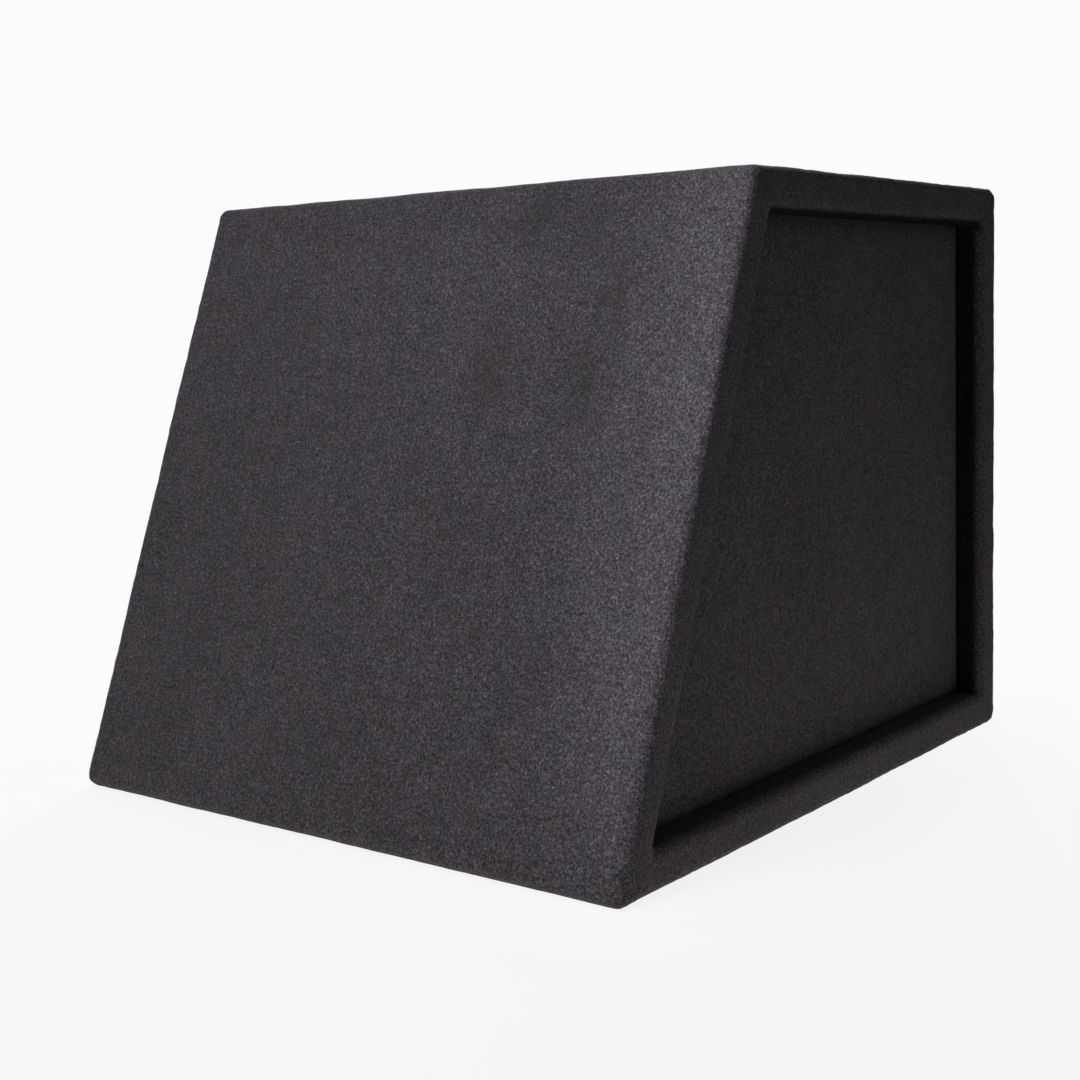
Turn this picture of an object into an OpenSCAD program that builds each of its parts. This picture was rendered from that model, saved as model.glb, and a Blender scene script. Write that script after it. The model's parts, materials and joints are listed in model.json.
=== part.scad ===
// Wedge-shaped loudspeaker cabinet, wrapped in felt carpet, with one 300 mm woofer.
// Frame: +Z up, the front baffle faces -Y, the sloping back faces +Y, and the origin
// is the centre of the carpeted base. All sizes are in millimetres.

/* [Cabinet] */
// Outside width, over the carpet
cabinet_width = 400; // [390:1:460]
// Outside height, over the carpet
cabinet_height = 342; // [340:1:400]
// Outside depth at the top
top_depth = 282; // [270:1:330]
// Outside depth at the base
base_depth = 413; // [400:1:470]
// Thickness of the wooden boards
board = 18; // [16:0.5:19]
// Radius on the long outside edges of the boards
board_edge_radius = 5; // [3:0.5:8]
// Easing on the ends of the boards, under the carpet
board_end_easing = 3; // [1:0.5:5]
// Thickness of the felt carpet
carpet = 2.2; // [1.5:0.1:2.5]
// Depth of the side panels below the rim, carpet to carpet
side_recess = 16.4; // [14:0.1:20]
// Square section of the battens behind the side panels
batten = 18; // [12:1:18]
// Thickness of the sound-damping wadding
wadding = 25; // [10:1:40]

/* [Woofer] */
// Outside diameter of the woofer's flange
flange_diameter = 311; // [308:0.5:312]
// Diameter of the hole in the baffle
cutout_diameter = 283; // [282:0.5:284]
// Diameter of the circle of mounting bolts
bolt_circle = 296; // [295:0.5:297]
// Number of mounting bolts
bolt_count = 8; // [4:4:8]
// Diameter of the voice coil's former, inside
coil_diameter = 65; // [60:0.5:66]
// Travel of the cone each way
cone_travel = 8; // [4:0.5:8]
// Diameter of the ring magnet
magnet_diameter = 160; // [140:1:165]

/* [Grille] */
// Height of the grille's dome above its shoulder
grille_rise = 20; // [16:1:26]
// Radius of the base ring's wire
grille_base_wire = 2.5; // [2:0.1:3]
// Radius of the rings' and ribs' wire
grille_wire = 2; // [1.6:0.1:2.2]
// Number of dome rings
grille_rings = 6; // [4:1:7]

/* [Terminals] */
// Width of the terminal cup's flange
cup_width = 104; // [100:1:110]
// Height of the terminal cup's flange
cup_height = 124; // [120:1:130]
// Spacing of the two binding posts
post_spacing = 19.05; // [19:0.05:22]
// Distance that a knob backs off when it is undone
knob_travel = 5; // [3:0.5:5]
// Bore of the banana-plug sockets
plug_bore = 4.04; // [4.02:0.01:4.1]
// Bore of the jack socket
jack_bore = 6.4; // [6.36:0.01:6.5]

/* [Hidden] */
$fn = 64;

// Small overlap that lets a cut run past a face
past = 1;
// Glue line left between a fitted piece and the sloping back panel
glue = 0.04;

// ---- Cabinet outline ----
// Tilt of the back panel from the vertical
back_tilt = atan((base_depth - top_depth) / cabinet_height);
// Length of the wooden boards across the cabinet
board_width = cabinet_width - 2 * carpet;
// Insets of the boards' inner faces and of the recess's carpeted wall
inner_inset = carpet + board;
opening_inset = inner_inset + carpet;
// Distances of the side panels' faces from the middle
side_carpet_x = cabinet_width / 2 - side_recess;
side_board_x = side_carpet_x - carpet;
side_inner_x = side_board_x - board;
// Steps in each rounded corner of an outline
arc_steps = 8;
// Angles of the outward normals on the two sides of each corner
corner_angles = [[-90, back_tilt], [back_tilt, 90], [90, 180], [180, 270]];

function front_y(inset) = -base_depth / 2 + inset;
function back_y(z, inset) = base_depth / 2 - z * tan(back_tilt) - inset / cos(back_tilt);

// Corners in (y, z): 0 base back, 1 top back, 2 top front, 3 base front
function wedge_corner(i, inset) =
    let (z = (i == 0 || i == 3) ? inset : cabinet_height - inset)
    [i < 2 ? back_y(z, inset) : front_y(inset), z];

function arc(centre, radius, from, to) =
    [for (s = [0 : arc_steps])
        let (a = from + (to - from) * s / arc_steps)
        centre + radius * [cos(a), sin(a)]];

function wedge_arc(i, inset, radius) =
    arc(wedge_corner(i, inset + radius), radius, corner_angles[i][0], corner_angles[i][1]);

function wedge_outline(inset, radius = 0) =
    radius > 0
        ? [for (i = [0 : 3]) each wedge_arc(i, inset, radius)]
        : [for (i = [0 : 3]) wedge_corner(i, inset)];

function rounded_rectangle(width, height, radius) =
    let (x = width / 2 - radius, y = height / 2 - radius)
    concat(
        arc([x, y], radius, 0, 90), arc([-x, y], radius, 90, 180),
        arc([-x, -y], radius, 180, 270), arc([x, -y], radius, 270, 360));

// Extrudes a (y, z) outline along X, between two distances from the middle
module across(outline, from, to) {
    translate([from, 0, 0])
        rotate([90, 0, 90])
            linear_extrude(to - from)
                polygon(outline);
}

module across_both(outline, from, to) {
    across(outline, from, to);
    across(outline, -to, -from);
}

// Bars along the eight outside edges of the rims: a board minus these is eased
module rim_easing() {
    bar = board_end_easing * sqrt(2);
    for (side = [-1, 1])
        for (i = [0 : 3]) {
            a = wedge_corner(i, carpet);
            b = wedge_corner((i + 1) % 4, carpet);
            middle = (a + b) / 2;
            translate([side * board_width / 2, middle[0], middle[1]])
                rotate([atan2(b[1] - a[1], b[0] - a[0]), 0, 0])
                    rotate([0, 45, 0])
                        cube([bar, norm(b - a) + 2 * past, bar], center = true);
        }
}

// ---- Places of the fittings ----
// Woofer frame: origin on the baffle's carpet, local +Z forwards, local +Y up
woofer_z = cabinet_height / 2;

module on_front() {
    translate([0, front_y(0), woofer_z])
        rotate([90, 0, 0])
            children();
}

function front_point(p) = [p[0], front_y(0) - p[2], woofer_z + p[1]];

// Terminal frame: origin on the right side carpet, local +Z out to the right,
// local +X to the back, local +Y up
cup_y = 0;
cup_z = 150;

module on_side() {
    translate([side_carpet_x, cup_y, cup_z])
        rotate([90, 0, 90])
            children();
}

function side_point(p) = [side_carpet_x + p[2], cup_y + p[0], cup_z + p[1]];

module ring(outer, inner, from, to) {
    translate([0, 0, from])
        difference() {
            cylinder(h = to - from, r = outer);
            translate([0, 0, -past])
                cylinder(h = to - from + 2 * past, r = inner);
        }
}

module rod(radius, from, to) {
    translate([0, 0, from])
        cylinder(h = to - from, r = radius);
}

module hex_ring(across_corners, inner, from, to) {
    translate([0, 0, from])
        difference() {
            cylinder(h = to - from, d = across_corners, $fn = 6);
            translate([0, 0, -past])
                cylinder(h = to - from + 2 * past, r = inner);
        }
}

// ---- Boards ----
panel_screw_radius = 2;
panel_screw_head = 4;
panel_screw_length = 40;
panel_screw_sink = 3;
panel_screw_spacing = 140;
// Heights of the screw rows: the middles of the base and top boards
panel_screw_rows = [carpet + board / 2, cabinet_height - carpet - board / 2];

module panel_screw() {
    rod(panel_screw_radius, -panel_screw_length, 0);
    translate([0, 0, -panel_screw_head])
        cylinder(h = panel_screw_head, r1 = panel_screw_radius, r2 = panel_screw_head);
}

// Puts children at each panel screw: head outwards on local +Z, just below the wood
module at_panel_screws() {
    for (x = [-1 : 1])
        for (z = panel_screw_rows) {
            translate([x * panel_screw_spacing, front_y(carpet + panel_screw_sink), z])
                rotate([90, 0, 0])
                    children();
            translate([x * panel_screw_spacing, back_y(z, carpet) - 2 * panel_screw_sink, z])
                rotate([-90, 0, 0])
                    children();
        }
}

// What a panel screw removes from the boards
module panel_screw_hole() {
    panel_screw();
    rod(panel_screw_head, -past / 10, 4 * panel_screw_sink);
}

module panel_screws() {
    color("dimgray") at_panel_screws() panel_screw();
}

bolt_radius = bolt_circle / 2;
bolt_shaft = 2.5;
tee_barrel = 3.25;
grille_screw_radius = 2;
grille_screw_circle = 169.5;
grille_screw_angles = [45 : 90 : 315];

module at_bolts() {
    for (i = [0 : bolt_count - 1])
        rotate([0, 0, (i + 0.5) * 360 / bolt_count])
            translate([bolt_radius, 0, 0])
                children();
}

module at_grille_clamps() {
    for (a = grille_screw_angles)
        rotate([0, 0, a])
            children();
}

module front_baffle() {
    outline = concat(
        wedge_arc(2, carpet, board_edge_radius), wedge_arc(3, carpet, board_edge_radius),
        [[front_y(inner_inset), carpet], [front_y(inner_inset), cabinet_height - carpet]]);
    color("tan")
        difference() {
            across(outline, -board_width / 2, board_width / 2);
            rim_easing();
            at_panel_screws() panel_screw_hole();
            on_front() {
                rod(cutout_diameter / 2, -inner_inset - past, past);
                at_bolts() rod(tee_barrel, -inner_inset - past, past);
                at_grille_clamps()
                    translate([grille_screw_circle, 0, 0])
                        rod(grille_screw_radius, grille_screw_tip, past);
            }
        }
}

module back_panel() {
    top = cabinet_height - carpet;
    outline = concat(
        wedge_arc(0, carpet, board_edge_radius), wedge_arc(1, carpet, board_edge_radius),
        [[back_y(top, inner_inset), top], [back_y(carpet, inner_inset), carpet]]);
    color("tan")
        difference() {
            across(outline, -board_width / 2, board_width / 2);
            rim_easing();
            at_panel_screws() panel_screw_hole();
        }
}

// A board that lies between the baffle and the back panel
module level_board(low) {
    high = low + board;
    outline = [
        [front_y(inner_inset), low], [back_y(low, inner_inset + glue), low],
        [back_y(high, inner_inset + glue), high], [front_y(inner_inset), high]];
    color("tan")
        difference() {
            across(outline, -board_width / 2, board_width / 2);
            rim_easing();
            at_panel_screws() panel_screw_hole();
        }
}

module top_panel() {
    level_board(cabinet_height - inner_inset);
}

module bottom_panel() {
    level_board(carpet);
}

module left_side_panel() {
    color("tan") across(wedge_outline(inner_inset + glue), -side_board_x, -side_inner_x);
}

module right_side_panel() {
    color("tan")
        difference() {
            across(wedge_outline(inner_inset + glue), side_inner_x, side_board_x);
            cup_cutout();
            terminal_screw_holes();
        }
}

module side_battens() {
    gap = 1;
    low = inner_inset + batten;
    high = cabinet_height - inner_inset - batten;
    deep = inner_inset + batten;
    front = front_y(inner_inset);
    seat = inner_inset + glue;
    strips = [
        [[front, inner_inset], [back_y(inner_inset, seat), inner_inset],
            [back_y(low, seat), low], [front, low]],
        [[front, high], [back_y(high, seat), high],
            [back_y(high + batten, seat), high + batten], [front, high + batten]],
        [[front, low + gap], [front_y(deep), low + gap],
            [front_y(deep), high - gap], [front, high - gap]],
        [[back_y(low + gap, deep), low + gap], [back_y(low + gap, seat), low + gap],
            [back_y(high - gap, seat), high - gap], [back_y(high - gap, deep), high - gap]]
    ];
    color("burlywood")
        for (strip = strips)
            across_both(strip, side_inner_x - batten, side_inner_x);
}

// ---- Carpet ----
module carpet_wrap() {
    outer = wedge_outline(0, board_edge_radius + carpet);
    wood = wedge_outline(carpet - glue, board_edge_radius + glue);
    color("#2b2a2e")
        difference() {
            across(outer, -cabinet_width / 2, cabinet_width / 2);
            across(wood, -side_carpet_x, side_carpet_x);
            across_both(wedge_outline(opening_inset), side_carpet_x - past, cabinet_width / 2 + past);
            // Room for the boards' ends, inside the rims
            difference() {
                across_both(wood, side_carpet_x - past, board_width / 2);
                across_both(wedge_outline(inner_inset + glue), side_carpet_x, board_width / 2);
            }
            on_front() {
                rod(cutout_diameter / 2, -2 * carpet, past);
                at_bolts() rod(flange_hole, -2 * carpet, past);
                at_grille_clamps()
                    translate([grille_screw_circle, 0, 0])
                        rod(grille_screw_radius, -2 * carpet, past);
            }
        }
}

module left_side_carpet() {
    color("#232326") across(wedge_outline(inner_inset + glue), -side_carpet_x, -side_board_x);
}

module right_side_carpet() {
    color("#232326")
        difference() {
            across(wedge_outline(inner_inset + glue), side_board_x, side_carpet_x);
            cup_cutout();
            terminal_screw_holes();
        }
}

// ---- Wadding ----
wadding_width = 280;
wadding_margin = 12;

module back_wadding() {
    low = inner_inset + wadding + wadding_margin;
    high = cabinet_height - inner_inset - wadding_margin;
    outline = [
        [back_y(low, inner_inset + wadding), low], [back_y(low, inner_inset + glue), low],
        [back_y(high, inner_inset + glue), high], [back_y(high, inner_inset + wadding), high]];
    color("whitesmoke") across(outline, -wadding_width / 2, wadding_width / 2);
}

module bottom_wadding() {
    low = inner_inset;
    high = inner_inset + wadding;
    front = front_y(inner_inset + wadding);
    outline = [
        [front, low], [back_y(high, inner_inset + wadding_margin), low],
        [back_y(high, inner_inset + wadding_margin), high], [front, high]];
    color("whitesmoke") across(outline, -wadding_width / 2, wadding_width / 2);
}

// ---- Woofer: frame and fixings ----
flange_hole = 2.75;
gasket_depth = 2;
gasket_margin = 1;
gasket_cutout_gap = 1.5;
flange_top = 6.5;
flange_inner = 129;
frame_skirt_outer = cutout_diameter / 2 - 2;
frame_wall = 4;
frame_foot_step = 1;
frame_skirt_bottom = -10;
shelf_top = -62;
shelf_bottom = -66;
shelf_inner = 71;
shelf_outer = 88;
frame_seat_top = -84;
frame_seat_bottom = -88;
frame_seat_outer = 70;
frame_seat_inner = 40;
window_angle = 31;
window_count = 8;
window_top = -14;
window_bottom = -56;

module mounting_gasket() {
    color("black")
        on_front()
            difference() {
                ring(flange_diameter / 2 - gasket_margin,
                    cutout_diameter / 2 + gasket_cutout_gap, 0, gasket_depth);
                at_bolts() rod(flange_hole, -past, gasket_depth + past);
            }
}

module woofer_basket() {
    section = [
        [flange_diameter / 2, flange_top], [flange_diameter / 2, gasket_depth],
        [frame_skirt_outer, gasket_depth], [frame_skirt_outer, frame_skirt_bottom],
        [shelf_outer, shelf_top], [shelf_outer, shelf_bottom],
        [frame_seat_outer, frame_seat_top], [frame_seat_outer, frame_seat_bottom],
        [frame_seat_inner, frame_seat_bottom], [frame_seat_inner, frame_seat_top],
        [frame_seat_outer - frame_wall, frame_seat_top],
        [shelf_outer - frame_wall - frame_foot_step, shelf_bottom],
        [shelf_inner, shelf_bottom], [shelf_inner, shelf_top],
        [shelf_outer - frame_wall, shelf_top],
        [frame_skirt_outer - frame_wall, frame_skirt_bottom],
        [frame_skirt_outer - frame_wall, gasket_depth],
        [flange_inner, gasket_depth], [flange_inner, flange_top]];
    reach = flange_diameter;
    color("#2e2e30")
        on_front()
            difference() {
                rotate_extrude($fn = 128) polygon(section);
                at_bolts() rod(flange_hole, 0, flange_top + past);
                for (i = [0 : window_count - 1])
                    rotate([0, 0, i * 360 / window_count])
                        translate([0, 0, window_bottom])
                            linear_extrude(window_top - window_bottom)
                                polygon([[0, 0],
                                    reach * [cos(window_angle / 2), -sin(window_angle / 2)],
                                    reach * [cos(window_angle / 2), sin(window_angle / 2)]]);
            }
}

bolt_head_radius = 4.75;
bolt_head_height = 3.5;
bolt_length = 33;
hex_key = 4.6;

module woofer_bolts() {
    color("#1c1c1c")
        on_front()
            at_bolts()
                difference() {
                    union() {
                        rod(bolt_shaft, flange_top - bolt_length, flange_top + past);
                        rod(bolt_head_radius, flange_top, flange_top + bolt_head_height);
                    }
                    translate([0, 0, flange_top + bolt_head_height / 2])
                        cylinder(h = bolt_head_height, d = hex_key, $fn = 6);
                }
}

tee_flange_radius = 7.5;
tee_flange_depth = 1.5;
tee_length = 11;

module tee_nuts() {
    color("silver")
        on_front()
            at_bolts() {
                ring(tee_barrel, bolt_shaft, -inner_inset, -inner_inset + tee_length);
                ring(tee_flange_radius, bolt_shaft, -inner_inset - tee_flange_depth, -inner_inset);
            }
}

// ---- Woofer: moving parts and suspension ----
coil_inner = coil_diameter / 2;
former_wall = 0.3;
former_outer = coil_inner + former_wall;
cone_neck_z = -48;
cone_rim = 108;
cone_edge = 113;
cone_skin = 1.2;
cone_steps = 12;
// Below 1 the cone's sides bulge forwards a little
cone_curve = 0.9;
cone_neck_wall = 1.5;
cone_neck_length = 3;
surround_skin = 0.7;
surround_inner = 108.5;
surround_outer = 139;
surround_roll_outer = 130.5;
surround_height = 3;
surround_waves = 1.5;
wave_steps = 16;

// Height of the cone's front face at a radius
function cone_z(r) =
    cone_neck_z
    + (flange_top - cone_neck_z) * pow((r - former_outer) / (cone_rim - former_outer), cone_curve);

function cone_radius(i) = former_outer + (cone_rim - former_outer) * i / cone_steps;

// Cross-section of a sheet of even depth that waves between two radii
function wave_z(r, from, to, waves, height) = height * sin(360 * waves * (r - from) / (to - from));

function wave_sheet(inner, from, to, outer, waves, height, skin) =
    let (
        steps = waves * wave_steps,
        radii = [for (i = [0 : steps]) from + (to - from) * i / steps],
        top = [for (r = radii) [r, skin + wave_z(r, from, to, waves, height)]],
        bottom = [for (i = [steps : -1 : 0])
            [radii[i], wave_z(radii[i], from, to, waves, height)]])
    concat([[inner, skin]], top, [[outer, skin], [outer, 0]], bottom, [[inner, 0]]);

module surround() {
    color("#1a1a1c")
        on_front()
            translate([0, 0, flange_top])
                rotate_extrude($fn = 128)
                    polygon(wave_sheet(surround_inner, cone_edge, surround_roll_outer, surround_outer,
                        surround_waves, surround_height, surround_skin));
}

trim_depth = 3;
trim_outer = 141;

module trim_gasket() {
    color("black")
        on_front()
            ring(trim_outer, surround_roll_outer,
                flange_top + surround_skin, flange_top + surround_skin + trim_depth);
}

module cone() {
    front = [for (i = [0 : cone_steps]) [cone_radius(i), cone_z(cone_radius(i))]];
    back = [for (i = [cone_steps : -1 : 1])
        [cone_radius(i), cone_z(cone_radius(i)) - cone_skin]];
    neck_end = cone_neck_z - cone_neck_length;
    neck = [[former_outer + cone_neck_wall, neck_end], [former_outer, neck_end]];
    rim = [[cone_edge, flange_top], [cone_edge, flange_top - cone_skin]];
    color("#28282a")
        on_front()
            rotate_extrude($fn = 128)
                polygon(concat(front, rim, back, neck));
}

cap_radius = 46;
cap_height = 14;
cap_skin = 0.9;

module dust_cap() {
    sphere_radius = (cap_radius * cap_radius + cap_height * cap_height) / (2 * cap_height);
    reach = asin(cap_radius / sphere_radius);
    inner_radius = sphere_radius - cap_skin;
    inner_reach = acos((sphere_radius - cap_height) / inner_radius);
    outer_arc = arc([0, 0], sphere_radius, 90, 90 - reach);
    inner_arc = arc([0, 0], inner_radius, 90 - inner_reach, 90);
    color("#202022")
        on_front()
            translate([0, 0, cone_z(cap_radius) + cap_height - sphere_radius])
                rotate_extrude($fn = 128)
                    polygon(concat(outer_arc, inner_arc));
}

spider_skin = 0.6;
spider_outer = 77;
spider_height = 2;
spider_waves = 5;
// Flat widths of the spider at the coil and at the shelf
spider_collar = 2;
spider_lap = 1;
former_above_neck = 2;

module spider() {
    color("#b9963f")
        on_front()
            translate([0, 0, shelf_top])
                rotate_extrude($fn = 128)
                    polygon(wave_sheet(former_outer, former_outer + spider_collar,
                        shelf_inner - spider_lap, spider_outer, spider_waves,
                        spider_height, spider_skin));
}

module voice_coil_former() {
    color("#c8a24a")
        on_front()
            ring(former_outer, coil_inner, former_bottom, cone_neck_z + former_above_neck);
}

winding_skin = 1.2;
winding_height = 16;
plate_depth = 9;
gap_middle = frame_seat_bottom - plate_depth / 2;

module voice_coil_winding() {
    color("#b87333")
        on_front()
            ring(former_outer + winding_skin, former_outer,
                gap_middle - winding_height / 2, gap_middle + winding_height / 2);
}

// ---- Woofer: magnet system ----
coil_clearance = 0.6;
magnet_depth = 20;
// How far the plate and the yoke stop short of the magnet's edge
plate_margin = 12;
yoke_margin = 8;
// Width of the open ring between the coil and the magnet
magnet_clearance = 12;
plate_bottom = frame_seat_bottom - plate_depth;
magnet_bottom = plate_bottom - magnet_depth;
// The former's end stays this far above the yoke at full travel
former_end_gap = 5;
former_bottom = magnet_bottom + cone_travel + former_end_gap;
pole_radius = coil_inner - coil_clearance;
vent_radius = 9;

module top_plate() {
    color("#3a3a3c")
        on_front()
            ring(magnet_diameter / 2 - plate_margin, former_outer + winding_skin + coil_clearance,
                plate_bottom, frame_seat_bottom);
}

module magnet() {
    color("#2b2b2b")
        on_front()
            ring(magnet_diameter / 2, coil_inner + magnet_clearance, magnet_bottom, plate_bottom);
}

module yoke() {
    color("#3a3a3c")
        on_front()
            difference() {
                union() {
                    rod(magnet_diameter / 2 - yoke_margin, magnet_bottom - plate_depth, magnet_bottom);
                    rod(pole_radius, magnet_bottom - past, frame_seat_bottom + past);
                }
                rod(vent_radius, magnet_bottom - 2 * plate_depth, 0);
            }
}

// ---- Woofer: connections ----
strip_inner = 78.5;
strip_depth = 4;
strip_width = 26;
strip_height = 22;
tag_width = 6.3;
tag_depth = 0.8;
tag_offset = 7;
tag_z = -49;
tag_start = 76;
tag_end = 96;

module woofer_tag_blades(depth, width) {
    for (side = [-1, 1])
        translate([tag_start, side * tag_offset - depth / 2, tag_z - width / 2])
            cube([tag_end - tag_start, depth, width]);
}

module woofer_terminal_strip() {
    color("#6b4a2b")
        on_front()
            difference() {
                translate([strip_inner, -strip_width / 2, shelf_top])
                    cube([strip_depth, strip_width, strip_height]);
                woofer_tag_blades(tag_depth, tag_width);
            }
}

module woofer_tags() {
    color("gold") on_front() woofer_tag_blades(tag_depth, tag_width);
}

function bezier(p, t) =
    pow(1 - t, 3) * p[0] + 3 * pow(1 - t, 2) * t * p[1]
    + 3 * (1 - t) * t * t * p[2] + pow(t, 3) * p[3];

function unit(v) = v / norm(v);

cable_steps = 24;
cable_sides = 12;

// Round cable along a curve with four control points; the curve never runs along
// the direction given as away
module cable(control, radius, away) {
    middles = [for (i = [0 : cable_steps]) bezier(control, i / cable_steps)];
    points = [for (i = [0 : cable_steps])
        let (
            along = unit(middles[min(i + 1, cable_steps)] - middles[max(i - 1, 0)]),
            across = unit(cross(along, away)),
            up = cross(across, along))
        for (j = [0 : cable_sides - 1])
            let (a = 360 * j / cable_sides)
            middles[i] + radius * (cos(a) * across + sin(a) * up)];
    walls = [for (i = [0 : cable_steps - 1])
        for (j = [0 : cable_sides - 1])
            let (
                a = i * cable_sides + j,
                b = i * cable_sides + (j + 1) % cable_sides,
                c = b + cable_sides,
                d = a + cable_sides)
            each [[a, b, c], [a, c, d]]];
    first = [for (j = [cable_sides - 1 : -1 : 0]) j];
    last = [for (j = [0 : cable_sides - 1]) cable_steps * cable_sides + j];
    polyhedron(points = points, faces = concat([first], walls, [last]));
}

tinsel_radius = 1;
tinsel_cone_radius = 58;
tinsel_cone_gap = 0.2;
tinsel_straight = 12;
tinsel_drop = 16;
tinsel_spread = 2;

module tinsel_leads() {
    touch = cone_z(tinsel_cone_radius - tinsel_radius) - cone_skin
        - tinsel_cone_gap;
    cone_side = tag_offset + tinsel_spread;
    color("#c9a36a")
        on_front()
            for (side = [-1, 1])
                cable([
                    [tag_start, side * tag_offset, tag_z],
                    [tag_start - tinsel_straight, side * tag_offset, tag_z],
                    [tinsel_cone_radius, side * cone_side, touch - tinsel_drop],
                    [tinsel_cone_radius, side * cone_side, touch]],
                    tinsel_radius, [0, 1, 0]);
}

// ---- Grille ----
grille_radius = 160;
// The ribs turn down this far clear of the cone's travel
grille_clearance = 2;
grille_shoulder = cone_travel + grille_clearance;
grille_weld = 0.6;
weld_bulge = 0.3;
dome_radius = (grille_radius * grille_radius + grille_rise * grille_rise) / (2 * grille_rise);
dome_middle = grille_shoulder + grille_rise - dome_radius;
dome_reach = asin(grille_radius / dome_radius);
ring_outermost = 140;

// Height of the ribs' wire at a radius
function rib_z(r) = dome_middle + sqrt(dome_radius * dome_radius - r * r);

module wire_ring(radius, z, wire) {
    translate([0, 0, z])
        rotate_extrude($fn = 128)
            translate([radius, 0])
                circle(r = wire, $fn = 24);
}

// A rib: two legs and the bowed wire between them, across the dome
module grille_rib() {
    translate([0, 0, dome_middle])
        rotate([90, 0, 0])
            rotate([0, 0, 90 - dome_reach])
                rotate_extrude(angle = 2 * dome_reach, $fn = 128)
                    translate([dome_radius, 0])
                        circle(r = grille_wire, $fn = 24);
    for (side = [-1, 1])
        translate([side * grille_radius, 0, 0]) {
            rod(grille_wire, grille_base_wire, grille_shoulder);
            translate([0, 0, grille_shoulder])
                sphere(r = grille_wire + weld_bulge, $fn = 32);
        }
}

module wire_grille() {
    color("#161616")
        on_front() {
            wire_ring(grille_radius, grille_base_wire, grille_base_wire);
            for (i = [1 : grille_rings]) {
                r = ring_outermost * i / grille_rings;
                wire_ring(r, rib_z(r) + 2 * grille_wire - grille_weld, grille_wire);
            }
            for (a = [0, 90])
                rotate([0, 0, a])
                    grille_rib();
        }
}

clamp_inner = 157;
clamp_foot = 163;
clamp_outer = 176;
clamp_width = 18;
clamp_top = 8;
clamp_gap = 0.1;
screw_clearance = 0.2;

module grille_clamps() {
    under = 2 * grille_base_wire + clamp_gap;
    section = [[clamp_foot, 0], [clamp_outer, 0], [clamp_outer, clamp_top],
        [clamp_inner, clamp_top], [clamp_inner, under], [clamp_foot, under]];
    color("#1b1b1b")
        on_front()
            at_grille_clamps()
                difference() {
                    translate([0, clamp_width / 2, 0])
                        rotate([90, 0, 0])
                            linear_extrude(clamp_width)
                                polygon(section);
                    translate([grille_screw_circle, 0, 0])
                        rod(grille_screw_radius + screw_clearance, -past, clamp_top + past);
                }
}

grille_screw_tip = -17;
grille_screw_head = 4;
grille_screw_head_height = 2.6;
screw_slot_width = 1;
screw_slot_depth = 1.2;

// A pan-head wood screw with a crossed slot, from its tip to its seat
module pan_screw(radius, head, height, tip, seat) {
    difference() {
        union() {
            rod(radius, tip, seat + height / 2);
            rod(head, seat, seat + height);
        }
        for (a = [0, 90])
            rotate([0, 0, a])
                translate([-head / 2, -screw_slot_width / 2, seat + height - screw_slot_depth])
                    cube([head, screw_slot_width, 2 * screw_slot_depth]);
    }
}

module grille_screws() {
    color("#1c1c1c")
        on_front()
            at_grille_clamps()
                translate([grille_screw_circle, 0, 0])
                    pan_screw(grille_screw_radius, grille_screw_head, grille_screw_head_height,
                        grille_screw_tip, clamp_top);
}

// ---- Terminal cup ----
cup_radius = 10;
cup_flange_depth = 3;
cup_gasket = 1.5;
cup_gasket_margin = 1;
// Width of the flange round the dish
cup_border = 14;
dish_width = cup_width - 2 * cup_border;
dish_height = cup_height - 2 * cup_border;
dish_wall = 2.5;
dish_floor_front = -22;
dish_floor_depth = 3;
dish_floor_back = dish_floor_front - dish_floor_depth;
cutout_gap = 1;
cup_screw_x = cup_width / 2 - cup_border / 2;
cup_screw_y = cup_height / 2 - cup_border / 2;
cup_screw_radius = 1.75;
cup_screw_head = 3.6;
cup_screw_head_height = 2.4;
cup_screw_tip = -18;
cup_face = cup_gasket + cup_flange_depth;
post_height = 22;
jack_height = -20;
spigot_radius = 4.5;
jack_bush = 4.75;

module plate(width, height, radius, from, to) {
    translate([0, 0, from])
        linear_extrude(to - from)
            polygon(rounded_rectangle(width, height, radius));
}

module cup_cutout() {
    room = 2 * (dish_wall + cutout_gap);
    on_side()
        plate(dish_width + room, dish_height + room, cup_radius + dish_wall + cutout_gap,
            -carpet - board - past, past);
}

module at_cup_screws() {
    for (x = [-1, 1])
        for (y = [-1, 1])
            translate([x * cup_screw_x, y * cup_screw_y, 0])
                children();
}

module terminal_screw_holes() {
    on_side() at_cup_screws() rod(cup_screw_radius, cup_screw_tip, past);
}

module terminal_gasket() {
    room = 2 * (dish_wall + cutout_gap);
    color("black")
        on_side()
            difference() {
                plate(cup_width - 2 * cup_gasket_margin, cup_height - 2 * cup_gasket_margin,
                    cup_radius - cup_gasket_margin, 0, cup_gasket);
                plate(dish_width + room, dish_height + room,
                    cup_radius + dish_wall + cutout_gap, -past, cup_gasket + past);
                at_cup_screws() rod(cup_screw_radius, -past, cup_gasket + past);
            }
}

module terminal_cup() {
    outer_extra = 2 * dish_wall;
    color("#1d1d1f")
        on_side()
            difference() {
                union() {
                    plate(cup_width, cup_height, cup_radius, cup_gasket, cup_face);
                    plate(dish_width + outer_extra, dish_height + outer_extra,
                        cup_radius + dish_wall, dish_floor_back, cup_gasket + past);
                }
                plate(dish_width, dish_height, cup_radius, dish_floor_front, cup_face + past);
                at_cup_screws() rod(cup_screw_radius + screw_clearance, 0, cup_face + past);
                for (side = [-1, 1])
                    translate([side * post_spacing / 2, post_height, 0])
                        rod(spigot_radius, dish_floor_back - past, dish_floor_front + past);
                translate([0, jack_height, 0])
                    rod(jack_bush, dish_floor_back - past, dish_floor_front + past);
            }
}

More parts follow.
